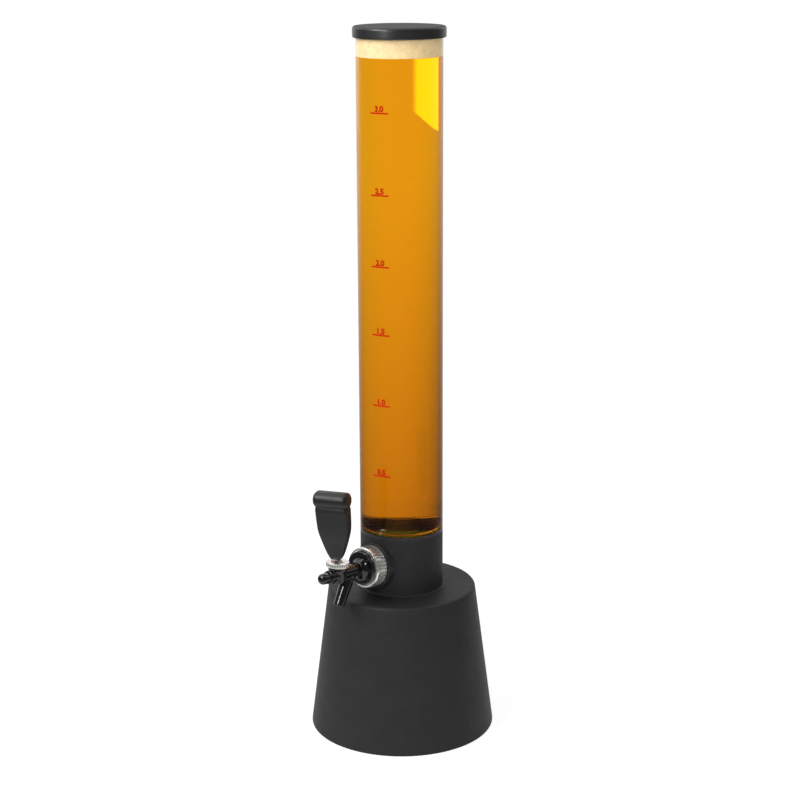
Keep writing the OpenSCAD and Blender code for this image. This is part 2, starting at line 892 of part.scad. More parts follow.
// Ball with a stem above it and, below, the pin that moves the shaft
module lever_stem() {
    stem_top = insert_z + insert_len - stem_end_gap;
    color("#c9ccd0") at_lever() {
        sphere(r = ball_r);
        cylinder(r = stem_r, h = stem_top);
        translate([0, 0, -arm]) cylinder(r = pin_r, h = arm);
        translate([0, 0, -arm]) sphere(r = pin_tip_r);
    }
}

// Threaded brass insert in the handle
module handle_insert() {
    color("#b08d4a") at_lever() translate([0, 0, insert_z]) difference() {
        cylinder(r = insert_r, h = insert_len);
        translate([0, 0, -over])
            cylinder(r = stem_r + insert_thread_clear, h = insert_len - stem_end_gap / 2 + over);
    }
}

// One flat slice of the handle, with round corners
module handle_section(z, w, depth) {
    corner = min(w, depth) * handle_corner_share;
    translate([0, 0, handle_start + z]) linear_extrude(handle_slice) hull() {
        for (sx = [-1, 1], sy = [-1, 1]) {
            translate([sx * (w / 2 - corner), sy * (depth / 2 - corner)]) circle(corner, $fn = blend_sides);
        }
    }
}

// Handle that widens upwards to a rolled cap with rounded ends
module tap_handle() {
    shares = handle_section_shares;
    cap_z = handle_start + handle_h - handle_cap_h;
    color("#1c1c1d") at_lever() rotate([0, 0, handle_turn]) difference() {
        union() {
            for (i = [0:len(shares) - 2]) {
                hull() {
                    for (s = [shares[i], shares[i + 1]]) {
                        handle_section(s[0] * handle_h, s[1] * handle_w, s[2] * handle_depth);
                    }
                }
            }
            hull() {
                for (sy = [-1, 1], up = [0, 1], step = [0:handle_end_steps]) {
                    inset = handle_end_round * (1 - cos(90 * step / handle_end_steps));
                    half = handle_w / 2 - handle_end_round * (1 - sin(90 * step / handle_end_steps));
                    translate([
                        -half,
                        sy * (handle_depth / 2 - handle_cap_round),
                        cap_z + handle_cap_round + up * (handle_cap_h - 2 * handle_cap_round)
                    ]) rotate([0, 90, 0]) cylinder(r = handle_cap_round - inset, h = 2 * half, $fn = blend_sides);
                }
            }
        }
        translate([0, 0, handle_start - over])
            cylinder(r = insert_r + fit / 2, h = insert_start + insert_len + over + fit);
    }
}

// Lid that drops over the tube, with a plug ring inside it and a vent
module lid_cap() {
    color("#2b2b2d") difference() {
        rotate_extrude() difference() {
            translate([0, lid_bottom]) square([lid_r, lid_h]);
            round_off([lid_r, lid_top], [-1, 0], [0, -1], lid_round);
            round_off([lid_r, lid_bottom], [-1, 0], [0, 1], lid_foot_round);
            translate([plug_r, lid_bottom - over])
                square([lid_bore_r - plug_r, lid_ceiling - lid_bottom + over]);
            translate([plug_r - plug_wall, lid_bottom - over])
                square([plug_wall + over, lid_ceiling - lid_bottom + over - plug_h]);
            translate([0, lid_bottom - over])
                square([plug_r - plug_wall, lid_ceiling - lid_bottom + over]);
        }
        translate([0, 0, lid_ceiling - over]) cylinder(r = vent_r, h = lid_top - lid_ceiling + 2 * over);
    }
}

// Flat ring in the lid that sits on the tube's rim
module lid_gasket() {
    color("#17171a") translate([0, 0, rim_z]) ring(neck_r, plug_r + fit, gasket_t);
}

base_shell();
base_plate();
base_screws();
foot_pad();
ballast_disc();
ballast_screws();
reservoir_cup();
clear_tube();
tube_o_rings();
tap_shank();
shank_o_ring();
saddle_washer();
inner_washer();
lock_nut();
coupling_nut();
coupling_washer();
faucet_body();
gland_seal();
nose_cap();
nose_o_ring();
ball_seat();
friction_washer();
bonnet();
valve_shaft();
valve_washer();
valve_nut();
lever_stem();
handle_insert();
tap_handle();
lid_cap();
lid_gasket();
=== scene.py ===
"""Looks of the drink tower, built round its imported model. Lengths are metres."""

import json
import math

import bpy
from mathutils import Matrix, Vector, noise


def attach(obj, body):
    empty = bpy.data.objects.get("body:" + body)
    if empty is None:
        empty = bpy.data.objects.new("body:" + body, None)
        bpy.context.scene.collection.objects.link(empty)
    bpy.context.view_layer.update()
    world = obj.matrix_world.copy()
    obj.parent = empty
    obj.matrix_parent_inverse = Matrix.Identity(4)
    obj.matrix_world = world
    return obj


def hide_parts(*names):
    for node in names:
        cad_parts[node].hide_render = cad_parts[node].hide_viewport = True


bl_info = {
    "name": "Drink Tower Looks",
    "version": (1, 0, 0),
    "blender": (4, 5, 0),
    "location": "3D View > Sidebar > Tower",
    "description": "Builds the finish of a drink tower: base, clear tube, drink, lid and lever tap",
    "category": "Object",
}

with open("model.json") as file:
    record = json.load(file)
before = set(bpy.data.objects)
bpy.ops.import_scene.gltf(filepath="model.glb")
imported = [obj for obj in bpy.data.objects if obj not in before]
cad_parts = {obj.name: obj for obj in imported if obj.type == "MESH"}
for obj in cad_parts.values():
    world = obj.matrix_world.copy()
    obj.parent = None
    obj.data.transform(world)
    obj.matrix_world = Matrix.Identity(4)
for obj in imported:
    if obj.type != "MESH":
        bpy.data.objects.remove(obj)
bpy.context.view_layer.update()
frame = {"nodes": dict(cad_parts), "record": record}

MM = 0.001
FULL_TURN = 2 * math.pi

# A ray that is bent more often than this has gone deeper than the tube's near wall
NEAR_WALL_BENDS = 2.5

# Height, width and depth of the handle's sections, as shares of its greatest ones
HANDLE_SECTIONS = (
    (0, 0.293, 0.537),
    (0.06, 0.42, 0.576),
    (0.146, 0.551, 0.624),
    (0.233, 0.668, 0.654),
    (0.32, 0.763, 0.712),
    (0.407, 0.851, 0.751),
    (0.494, 0.895, 0.761),
    (0.625, 0.92, 0.771),
    (0.745, 0.932, 0.78),
)
HANDLE_LEDGE = (
    (0.79, 0.932, 0.62),
    (0.85, 0.92, 0.56),
)

# Chambers of the tap: radius, start and end in millimetres, along its axis and up from it
BARREL_CHAMBERS = (
    (8.6, 9, 21),
    (5.2, 21, 24.5),
    (6.3, 24.5, 45.3),
    (3.35, 45.3, 48.3),
    (4.9, 48.3, 67),
    (5.7, 67, 76),
)
LEVER_CHAMBERS = (
    (5, 0, 4.2),
    (6.6, 4.2, 12.2),
    (8.2, 12.2, 16),
)

# Heights of the litre marks, from half a litre up
MARK_HEIGHTS = (0.3126, 0.3941, 0.4745, 0.5505, 0.6287, 0.7168)


class TowerSizes(bpy.types.PropertyGroup):
    """Sizes of the base, the tube, the drink and the lid"""

    tube_radius: bpy.props.FloatProperty(
        name="Tube radius", description="Outer radius of the clear tube and the neck",
        default=0.0475, unit="LENGTH",
    )
    tube_wall: bpy.props.FloatProperty(
        name="Tube wall", description="Wall of the clear tube", default=0.003, unit="LENGTH"
    )
    seam: bpy.props.FloatProperty(
        name="Seam", description="Height of the seam between the base and the tube",
        default=0.240, unit="LENGTH",
    )
    rim: bpy.props.FloatProperty(
        name="Rim", description="Height of the tube's rim", default=0.8024, unit="LENGTH"
    )
    spigot_radius: bpy.props.FloatProperty(
        name="Spigot radius", description="Outer radius of the tube's spigot",
        default=0.042, unit="LENGTH",
    )
    spigot_depth: bpy.props.FloatProperty(
        name="Spigot depth", description="How far the spigot goes below the seam",
        default=0.0117, unit="LENGTH",
    )
    lid_radius: bpy.props.FloatProperty(
        name="Lid radius", description="Radius of the lid", default=0.051, unit="LENGTH"
    )
    lid_height: bpy.props.FloatProperty(
        name="Lid height", description="Height of the lid", default=0.0123, unit="LENGTH"
    )
    drink_level: bpy.props.FloatProperty(
        name="Drink level", description="Height of the drink's surface",
        default=0.774, unit="LENGTH",
    )
    sump_radius: bpy.props.FloatProperty(
        name="Sump radius", description="Radius of the sump's bore under the cup",
        default=0.0135, unit="LENGTH",
    )
    sump_floor: bpy.props.FloatProperty(
        name="Sump floor", description="Height of the sump's floor", default=0.1925, unit="LENGTH"
    )
    foam_depth: bpy.props.FloatProperty(
        name="Foam depth", description="Thickness of the foam", default=0.0195, unit="LENGTH"
    )
    mark_azimuth: bpy.props.FloatProperty(
        name="Mark azimuth", description="Place of the marks round the tube",
        default=math.radians(14.0), subtype="ANGLE",
    )


class TapSizes(bpy.types.PropertyGroup):
    """Sizes of the tap and its lever"""

    height: bpy.props.FloatProperty(
        name="Tap height", description="Height of the tap's axis at the neck",
        default=0.205, unit="LENGTH",
    )
    tilt: bpy.props.FloatProperty(
        name="Tap tilt", description="Upward tilt of the tap",
        default=math.radians(4.0), subtype="ANGLE",
    )
    reach: bpy.props.FloatProperty(
        name="Lever reach", description="Distance from the neck to the lever's pivot",
        default=0.060, unit="LENGTH",
    )
    rise: bpy.props.FloatProperty(
        name="Pivot rise", description="Height of the pivot above the tap's axis",
        default=0.009, unit="LENGTH",
    )
    lean: bpy.props.FloatProperty(
        name="Lever lean", description="Forward lean of the closed lever",
        default=math.radians(5.1), subtype="ANGLE",
    )
    nut_radius: bpy.props.FloatProperty(
        name="Nut radius", description="Radius of the coupling nut", default=0.0234, unit="LENGTH"
    )
    nut_front: bpy.props.FloatProperty(
        name="Nut front", description="Station of the nut's front along the tap",
        default=0.0185, unit="LENGTH",
    )
    saddle: bpy.props.FloatProperty(
        name="Saddle", description="Thickness of the washer between the nut and the neck",
        default=0.002, unit="LENGTH",
    )
    barrel_radius: bpy.props.FloatProperty(
        name="Barrel radius", description="Radius of the barrel", default=0.0078, unit="LENGTH"
    )
    barrel_end: bpy.props.FloatProperty(
        name="Barrel end", description="Station of the barrel's front along the tap",
        default=0.075, unit="LENGTH",
    )
    nose_radius: bpy.props.FloatProperty(
        name="Nose radius", description="Radius of the nose cap", default=0.0062, unit="LENGTH"
    )
    nose_length: bpy.props.FloatProperty(
        name="Nose length", description="Length of the nose cap past the barrel",
        default=0.013, unit="LENGTH",
    )
    spout_station: bpy.props.FloatProperty(
        name="Spout station", description="Station along the tap where the spout starts",
        default=0.0393, unit="LENGTH",
    )
    spout_radius: bpy.props.FloatProperty(
        name="Spout radius", description="Outer radius of the spout at the barrel",
        default=0.0077, unit="LENGTH",
    )
    mouth_radius: bpy.props.FloatProperty(
        name="Mouth radius", description="Outer radius of the spout at its mouth",
        default=0.0064, unit="LENGTH",
    )
    spout_bore: bpy.props.FloatProperty(
        name="Spout bore", description="Radius of the spout's bore", default=0.0045, unit="LENGTH"
    )
    spout_length: bpy.props.FloatProperty(
        name="Spout length", description="Length of the spout from the tap's axis",
        default=0.0405, unit="LENGTH",
    )
    spout_lean: bpy.props.FloatProperty(
        name="Spout lean", description="Forward lean of the spout",
        default=math.radians(24.4), subtype="ANGLE",
    )
    bonnet_radius: bpy.props.FloatProperty(
        name="Bonnet radius", description="Radius of the knurled bonnet",
        default=0.0133, unit="LENGTH",
    )
    bonnet_foot: bpy.props.FloatProperty(
        name="Bonnet foot", description="Height of the bonnet's foot above the tap's axis",
        default=0.0109, unit="LENGTH",
    )
    bonnet_top: bpy.props.FloatProperty(
        name="Bonnet top", description="Height of the bonnet's top above the tap's axis",
        default=0.0158, unit="LENGTH",
    )
    handle_start: bpy.props.FloatProperty(
        name="Handle start", description="Height of the handle's foot above the pivot",
        default=0.0114, unit="LENGTH",
    )
    handle_height: bpy.props.FloatProperty(
        name="Handle height", description="Height of the handle", default=0.0787, unit="LENGTH"
    )
    handle_width: bpy.props.FloatProperty(
        name="Handle width", description="Width of the handle's cap", default=0.041, unit="LENGTH"
    )
    handle_depth: bpy.props.FloatProperty(
        name="Handle depth", description="Greatest depth of the handle",
        default=0.0205, unit="LENGTH",
    )
    handle_turn: bpy.props.FloatProperty(
        name="Handle turn", description="Turn of the handle on its stem",
        default=math.radians(20), subtype="ANGLE",
    )
    disc_rise: bpy.props.FloatProperty(
        name="Disc rise", description="How far the tap's disc stands ahead of the nut",
        default=0.0045, unit="LENGTH",
    )


class TowerColours(bpy.types.PropertyGroup):
    """Colours of the finishes"""

    base: bpy.props.FloatVectorProperty(
        name="Base", description="Moulded black of the base",
        default=(0.020, 0.019, 0.021), subtype="COLOR",
    )
    # The olive is partly painted light: a dark green plastic made brighter and greener, so that the
    # dim band under the drink shows olive
    cup: bpy.props.FloatVectorProperty(
        name="Cup", description="Olive of the cup's inside, under the drink",
        default=(0.05, 0.3, 0.02),
        subtype="COLOR",
    )
    lid: bpy.props.FloatVectorProperty(
        name="Lid", description="Satin black of the lid",
        default=(0.018, 0.018, 0.019), subtype="COLOR",
    )
    tap: bpy.props.FloatVectorProperty(
        name="Tap", description="Gloss black of the tap",
        default=(0.006, 0.006, 0.0065), subtype="COLOR",
    )
    handle: bpy.props.FloatVectorProperty(
        name="Handle", description="Satin black of the handle",
        default=(0.010, 0.010, 0.011), subtype="COLOR",
    )
    # Where this plating is only partly metallic, this pale warm colour also shows as diffuse
    # colour, a painted sheen
    chrome: bpy.props.FloatVectorProperty(
        name="Chrome", description="Bright plating of the nuts",
        default=(0.95, 0.93, 0.88), subtype="COLOR",
    )
    drink_top: bpy.props.FloatVectorProperty(
        name="Drink, top", description="Colour of the drink near its surface",
        default=(1.0, 0.65, 0.02), subtype="COLOR",
    )
    # The foot colour is the drink's amber darkened with painted shade
    drink_shaded_foot: bpy.props.FloatVectorProperty(
        name="Drink, foot", description="Colour of the drink near the seam",
        default=(0.76, 0.37, 0.01), subtype="COLOR",
    )
    foam: bpy.props.FloatVectorProperty(
        name="Foam", description="Colour of the foam", default=(0.81, 0.63, 0.36), subtype="COLOR"
    )
    marks: bpy.props.FloatVectorProperty(
        name="Marks", description="Red ink of the litre marks",
        default=(0.58, 0.006, 0.002), subtype="COLOR",
    )


class StageSettings(bpy.types.PropertyGroup):
    """Camera, floor and lamps"""

    azimuth: bpy.props.FloatProperty(
        name="Azimuth", description="Turn of the camera round the tower",
        default=math.radians(42.05), subtype="ANGLE",
    )
    distance: bpy.props.FloatProperty(
        name="Distance", description="Level distance from the tower to the camera",
        default=1.9938, unit="LENGTH",
    )
    height: bpy.props.FloatProperty(
        name="Height", description="Height of the camera", default=0.9246, unit="LENGTH"
    )
    pitch: bpy.props.FloatProperty(
        name="Pitch", description="Downward pitch of the camera",
        default=math.radians(15.015), subtype="ANGLE",
    )
    roll: bpy.props.FloatProperty(
        name="Roll", description="Roll of the camera", default=math.radians(-0.26), subtype="ANGLE"
    )
    shift: bpy.props.FloatProperty(
        name="Shift", description="Sideways shift of the picture, as a share of its width",
        default=-0.00125,
    )
    lens: bpy.props.FloatProperty(
        name="Lens", description="Focal length in millimetres", default=82.02
    )
    floor: bpy.props.FloatVectorProperty(
        name="Floor", description="Colour of the floor", default=(0.82, 0.82, 0.82), subtype="COLOR"
    )
    floor_shade: bpy.props.FloatProperty(
        name="Floor shade", description="Share of the floor's shading that is seen",
        default=0.35, subtype="FACTOR",
    )
    floor_lift: bpy.props.FloatProperty(
        name="Floor lift", description="White added to what is seen of the floor",
        default=0.89, subtype="FACTOR",
    )
    world: bpy.props.FloatProperty(
        name="World", description="Strength of the even light from all round",
        default=0.3, subtype="FACTOR",
    )
    inner_light: bpy.props.FloatProperty(
        name="Inner light", description="Strength of the even light on what is inside the tube",
        default=1.2,
    )
    sun: bpy.props.FloatProperty(
        name="Sun", description="Strength of the soft light from above",
        default=0.45, subtype="FACTOR",
    )
    front_glow: bpy.props.FloatProperty(
        name="Front glow", description="How bright the front is in reflections",
        default=0.08, subtype="FACTOR",
    )


def deselect_all():
    """Leaves object mode with nothing selected"""
    if bpy.context.object and bpy.context.object.mode != "OBJECT":
        bpy.ops.object.mode_set(mode="OBJECT")
    bpy.ops.object.select_all(action="DESELECT")


def select_only(*pieces):
    """Selects these objects and makes the last one active"""
    deselect_all()
    for piece in pieces:
        piece.select_set(True)
    bpy.context.view_layer.objects.active = pieces[-1]


def apply_modifier(piece, kind, **settings):
    """Adds a modifier with these settings and applies it"""
    select_only(piece)
    modifier = piece.modifiers.new(kind.lower(), kind)
    for key, value in settings.items():
        setattr(modifier, key, value)
    bpy.ops.object.modifier_apply(modifier=modifier.name)


def bevel_edges(piece, width, steps, angle):
    """Rounds the edges that are sharper than an angle in degrees"""
    apply_modifier(
        piece, "BEVEL", width=width, segments=steps,
        limit_method="ANGLE", angle_limit=math.radians(angle),
    )


def place(piece, matrix):
    """Moves a piece made about the origin to its place and writes the place into its mesh"""
    select_only(piece)
    piece.matrix_world = matrix @ piece.matrix_world
    bpy.ops.object.transform_apply(location=True, rotation=True, scale=True)


def smooth(piece, angle=35):
    """Shades a piece smooth, but for its sharp edges"""
    select_only(piece)
    bpy.ops.object.shade_smooth_by_angle(angle=math.radians(angle))


def braced(profile, inset=1 * MM, longest=5 * MM):
    """A closed profile with points added near the ends of its long runs, for straight shading"""
    fuller = []
    for low, high in zip(profile, profile[1:] + profile[:1]):
        fuller.append(low)
        run = math.dist(low, high)
        if run > longest:
            for share in (inset / run, 1 - inset / run):
                fuller.append(tuple(a + (b - a) * share for a, b in zip(low, high)))
    return fuller


def turned(name, profile, steps=192, bevel=0.0, bevel_steps=3, bevel_angle=25):
    """A piece turned on a lathe: the closed profile of (radius, height) points is spun about Z"""
    if bevel:
        profile = braced(profile)
    deselect_all()
    bpy.ops.mesh.primitive_plane_add(size=2 * MM, location=(0, 0, 0))
    piece = bpy.context.object
    piece.name = name
    bpy.ops.object.mode_set(mode="EDIT")
    bpy.ops.mesh.select_all(action="SELECT")
    bpy.ops.mesh.merge(type="CENTER")
    r, z = profile[0]
    bpy.ops.transform.translate(value=(r, 0, z))
    for (r0, z0), (r1, z1) in zip(profile, profile[1:]):
        bpy.ops.mesh.extrude_region_move(TRANSFORM_OT_translate={"value": (r1 - r0, 0, z1 - z0)})
    bpy.ops.mesh.select_all(action="SELECT")
    if profile[0][0] > 0 or profile[-1][0] > 0:
        (r0, z0), (r1, z1) = profile[-1], profile[0]
        bpy.ops.mesh.select_all(action="DESELECT")
        bpy.ops.object.mode_set(mode="OBJECT")
        piece.data.vertices[len(profile) - 1].select = True
        bpy.ops.object.mode_set(mode="EDIT")
        bpy.ops.mesh.extrude_region_move(TRANSFORM_OT_translate={"value": (r1 - r0, 0, z1 - z0)})
    bpy.ops.mesh.select_all(action="SELECT")
    bpy.ops.mesh.spin(steps=steps, angle=FULL_TURN, center=(0, 0, 0), axis=(0, 0, 1))
    bpy.ops.mesh.select_all(action="SELECT")
    bpy.ops.mesh.remove_doubles(threshold=0.002 * MM)
    bpy.ops.mesh.dissolve_degenerate(threshold=0.001 * MM)
    bpy.ops.mesh.normals_make_consistent(inside=False)
    bpy.ops.object.mode_set(mode="OBJECT")
    if bevel:
        bevel_edges(piece, bevel, bevel_steps, bevel_angle)
    return piece


def on_tap(station=0.0):
    """Place on the tap's axis: Z points forward along the tap and Y up"""
    tap, tower = bpy.context.scene.tap_sizes, bpy.context.scene.tower_sizes
    root = Matrix.Translation((0, -tower.tube_radius, tap.height))
    root = root @ Matrix.Rotation(-tap.tilt, 4, "X")
    return root @ Matrix.Translation((0, -station, 0)) @ Matrix.Rotation(math.pi / 2, 4, "X")


def over_pivot():
    """Place square to the tap above its axis at the lever: Z points up"""
    tap = bpy.context.scene.tap_sizes
    return on_tap(tap.reach) @ Matrix.Rotation(-math.pi / 2, 4, "X")


def on_lever():
    """Place on the lever: the origin is the pivot and Z points up the stem"""
    tap = bpy.context.scene.tap_sizes
    pivot = over_pivot() @ Matrix.Translation((0, 0, tap.rise))
    return pivot @ Matrix.Rotation(tap.lean + tap.tilt, 4, "X")


def on_spout():
    """Place at the top of the spout's axis: Z points down the spout"""
    tap = bpy.context.scene.tap_sizes
    square = on_tap(tap.spout_station) @ Matrix.Rotation(-math.pi / 2, 4, "X")
    return square @ Matrix.Rotation(math.pi - tap.spout_lean, 4, "X")


def joined(name, *pieces):
    """Joins pieces into one object"""
    select_only(*pieces)
    bpy.ops.object.join()
    bpy.context.object.name = name
    return bpy.context.object


def ringed(piece, count):
    """A piece and its copies, each with its own mesh, spread evenly round Z and joined"""
    copies = [piece]
    for i in range(1, count):
        select_only(piece)
        bpy.ops.object.duplicate(linked=False)
        twin = bpy.context.object
        twin.rotation_euler = (0, 0, i * FULL_TURN / count)
        bpy.ops.object.transform_apply(location=True, rotation=True, scale=True)
        copies.append(twin)
    return joined(piece.name, *copies)


def combine(piece, other, operation="DIFFERENCE"):
    """Cuts another piece from this one, or adds it, and removes the other"""
    apply_modifier(piece, "BOOLEAN", object=other, operation=operation, solver="EXACT")
    bpy.data.objects.remove(other)
    return piece


def lofted(name, sections, corner, corner_steps=6):
    """A closed loft up Z through sections of (height, width, depth), its corners of one radius"""
    z, width, depth = sections[0]
    deselect_all()
    bpy.ops.mesh.primitive_plane_add(size=1, location=(0, 0, 0))
    piece = bpy.context.object
    piece.name = name
    piece.scale = (width, depth, 1)
    piece.location = (0, 0, z)
    bpy.ops.object.transform_apply(location=True, rotation=True, scale=True)
    bpy.ops.object.mode_set(mode="EDIT")
    bpy.ops.mesh.select_all(action="SELECT")
    bpy.ops.mesh.bevel(
        offset=corner, offset_type="OFFSET", segments=corner_steps, affect="VERTICES"
    )
    bpy.ops.mesh.select_all(action="SELECT")
    for low, high in zip(sections, sections[1:]):
        bpy.ops.mesh.extrude_region_move(TRANSFORM_OT_translate={"value": (0, 0, high[0] - low[0])})
    bpy.ops.mesh.select_all(action="SELECT")
    bpy.ops.mesh.normals_make_consistent(inside=False)
    bpy.ops.object.mode_set(mode="OBJECT")
    for vertex in piece.data.vertices:
        section = min(sections, key=lambda s: abs(s[0] - vertex.co.z))
        vertex.co.x += math.copysign((section[1] - width) / 2, vertex.co.x)
        vertex.co.y += math.copysign((section[2] - depth) / 2, vertex.co.y)
    return piece


def smooth_steps(points, steps):
    """More points along a smooth curve through these"""
    last = len(points) - 1
    fuller = []
    for i in range(last):
        before, low, high, after = (points[max(0, min(last, i + k))] for k in (-1, 0, 1, 2))
        for step in range(steps):
            t = step / steps
            fuller.append(tuple(
                b + 0.5 * (
                    (c - a) * t
                    + (2 * a - 5 * b + 4 * c - d) * t**2
                    + (3 * b - a - 3 * c + d) * t**3
                )
                for a, b, c, d in zip(before, low, high, after)
            ))
    return fuller + [points[last]]


def finish_piece(piece, body, material, nodes=()):
    """Gives a piece its material, body and slot, and hides the plain pieces that it stands for"""
    piece.data.materials.clear()
    piece.data.materials.append(material)
    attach(piece, body)
    if nodes:
        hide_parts(*nodes)


def paint_nodes(material, *names):
    """Gives plain pieces a material"""
    for name in names:
        piece = frame["nodes"][name]
        piece.data.materials.clear()
        piece.data.materials.append(material)


def parts_of(material):
    """A material's nodes, its links and its Principled shader"""
    tree = material.node_tree
    return tree.nodes, tree.links, tree.nodes["Principled BSDF"]


def new_material(name):
    """An empty node material with its Principled shader"""
    material = bpy.data.materials.new(name)
    material.use_nodes = True
    return (material, *parts_of(material))


def object_noise(nodes, links, scale, detail=3.0, stretch=(1, 1, 1)):
    """Noise on the object's own coordinates, with a scale in features per metre"""
    coordinates = nodes.new("ShaderNodeTexCoord")
    mapping = nodes.new("ShaderNodeMapping")
    mapping.inputs["Scale"].default_value = stretch
    noise = nodes.new("ShaderNodeTexNoise")
    noise.inputs["Scale"].default_value = scale
    noise.inputs["Detail"].default_value = detail
    links.new(coordinates.outputs["Object"], mapping.inputs["Vector"])
    links.new(mapping.outputs["Vector"], noise.inputs["Vector"])
    return noise


def ramp_between(nodes, links, source, low, high, start=0.35, end=0.65):
    """A colour or grey ramp over a factor"""
    ramp = nodes.new("ShaderNodeValToRGB")
    first, last = ramp.color_ramp.elements
    first.position, last.position = start, end
    first.color, last.color = (*low, 1), (*high, 1)
    links.new(source, ramp.inputs["Fac"])
    return ramp


def height_share(nodes, links, low, high):
    """Where a point lies between two heights, from 0 to 1"""
    coordinates = nodes.new("ShaderNodeTexCoord")
    split = nodes.new("ShaderNodeSeparateXYZ")
    level = nodes.new("ShaderNodeMapRange")
    level.inputs["From Min"].default_value = low
    level.inputs["From Max"].default_value = high
    links.new(coordinates.outputs["Object"], split.inputs["Vector"])
    links.new(split.outputs["Z"], level.inputs["Value"])
    return level.outputs["Result"]


def shades(colour, *shares):
    """Lighter or darker versions of a colour"""
    return [[part * share for part in colour] for share in shares]


def grey(value):
    """A grey as a colour"""
    return (value, value, value)


def add_bump(nodes, links, shader, height, strength, distance):
    """Bump on a shader from a height"""
    bump = nodes.new("ShaderNodeBump")
    bump.inputs["Strength"].default_value = strength
    bump.inputs["Distance"].default_value = distance
    links.new(height, bump.inputs["Height"])
    links.new(bump.outputs["Normal"], shader.inputs["Normal"])
    return bump


def moulded_plastic(name, colour, rough=(0.54, 0.59), grain=2600, depth=0.05 * MM, specular=0.5):
    """Moulded plastic with a fine grain, faint mottling and uneven sheen"""
    material, nodes, links, shader = new_material(name)
    cloud = object_noise(nodes, links, 38, 4)
    tint = ramp_between(nodes, links, cloud.outputs["Fac"], *shades(colour, 0.94, 1.07))
    links.new(tint.outputs["Color"], shader.inputs["Base Color"])
    wear = object_noise(nodes, links, 90, 5)
    sheen = ramp_between(nodes, links, wear.outputs["Fac"], grey(rough[0]), grey(rough[1]))
    links.new(sheen.outputs["Color"], shader.inputs["Roughness"])
    fine = object_noise(nodes, links, grain, 2)
    add_bump(nodes, links, shader, fine.outputs["Fac"], 0.25, depth)
    shader.inputs["Specular IOR Level"].default_value = specular
    return material


def plated_metal(name, colour, rough=(0.14, 0.2), stretch=(1, 1, 1), metallic=1.0):
    """Bright plating with faint smears"""
    material, nodes, links, shader = new_material(name)
    shader.inputs["Metallic"].default_value = metallic
    smear = object_noise(nodes, links, 240, 4, stretch)
    tint = ramp_between(nodes, links, smear.outputs["Fac"], *shades(colour, 0.93, 1))
    links.new(tint.outputs["Color"], shader.inputs["Base Color"])
    sheen = ramp_between(nodes, links, smear.outputs["Fac"], grey(rough[0]), grey(rough[1]))
    links.new(sheen.outputs["Color"], shader.inputs["Roughness"])
    add_bump(nodes, links, shader, smear.outputs["Fac"], 0.04, 0.01 * MM)
    return material


def gloss_black(name, colour):
    """Glossy black of the tap, with faint waviness and smudges"""
    material, nodes, links, shader = new_material(name)
    cloud = object_noise(nodes, links, 120, 3)
    tint = ramp_between(nodes, links, cloud.outputs["Fac"], *shades(colour, 0.8, 1.3))
    links.new(tint.outputs["Color"], shader.inputs["Base Color"])
    smudge = object_noise(nodes, links, 260, 5)
    sheen = ramp_between(nodes, links, smudge.outputs["Fac"], grey(0.09), grey(0.2))
    links.new(sheen.outputs["Color"], shader.inputs["Roughness"])
    add_bump(nodes, links, shader, cloud.outputs["Fac"], 0.1, 0.2 * MM)
    shader.inputs["Coat Weight"].default_value = 0.5
    shader.inputs["Coat Roughness"].default_value = 0.05
    return material


def cup_plastic(name, colour, liner_with_painted_light, reach):
    """Smooth plastic of the cup, olive inside, within this distance of its axis; the olive is
    brighter and greener than the plastic, painted light for the dim band under the drink
    """
    material = moulded_plastic(name, colour, (0.2, 0.3))
    nodes, links, shader = parts_of(material)
    coordinates = nodes.new("ShaderNodeTexCoord")
    level = nodes.new("ShaderNodeVectorMath")
    level.operation = "MULTIPLY"
    level.inputs[1].default_value = (1, 1, 0)
    distance = nodes.new("ShaderNodeVectorMath")
    distance.operation = "LENGTH"
    links.new(coordinates.outputs["Object"], level.inputs[0])
    links.new(level.outputs["Vector"], distance.inputs[0])
    outside = nodes.new("ShaderNodeMapRange")
    outside.inputs["From Min"].default_value = reach - 0.5 * MM
    outside.inputs["From Max"].default_value = reach
    links.new(distance.outputs["Value"], outside.inputs["Value"])
    either = nodes.new("ShaderNodeMix")
    either.data_type = "RGBA"
    # Painted light: the olive liner colour inside the spigot radius
    either.inputs[6].default_value = (*liner_with_painted_light, 1)
    links.new(outside.outputs["Result"], either.inputs[0])
    links.new(shader.inputs["Base Color"].links[0].from_socket, either.inputs[7])
    links.new(either.outputs[2], shader.inputs["Base Color"])
    return material


def lid_satin(name, colour, top):
    """Moulded plastic that is polished on its side and duller on its flat top"""
    material = moulded_plastic(name, colour, (0.3, 0.36), specular=0.8)
    nodes, links, shader = parts_of(material)
    either = nodes.new("ShaderNodeMix")
    either.data_type = "FLOAT"
    links.new(height_share(nodes, links, top - 1.5 * MM, top - 0.1 * MM), either.inputs[0])
    links.new(shader.inputs["Roughness"].links[0].from_socket, either.inputs[2])
    either.inputs[3].default_value = 0.72
    links.new(either.outputs[0], shader.inputs["Roughness"])
    return material


def soft_rubber(name):
    """Dull black rubber"""
    return moulded_plastic(name, (0.012, 0.012, 0.012), (0.6, 0.8), 1800, 0.04 * MM, 0.3)


def let_lamps_through(material, nodes, links, shader):
    """Lets the lamps' light pass a clear piece, so that what is inside is lit"""
    path = nodes.new("ShaderNodeLightPath")
    clear = nodes.new("ShaderNodeBsdfTransparent")
    either = nodes.new("ShaderNodeMixShader")
    links.new(path.outputs["Is Shadow Ray"], either.inputs["Fac"])
    links.new(shader.outputs["BSDF"], either.inputs[1])
    links.new(clear.outputs["BSDF"], either.inputs[2])
    links.new(either.outputs["Shader"], nodes["Material Output"].inputs["Surface"])
    return clear


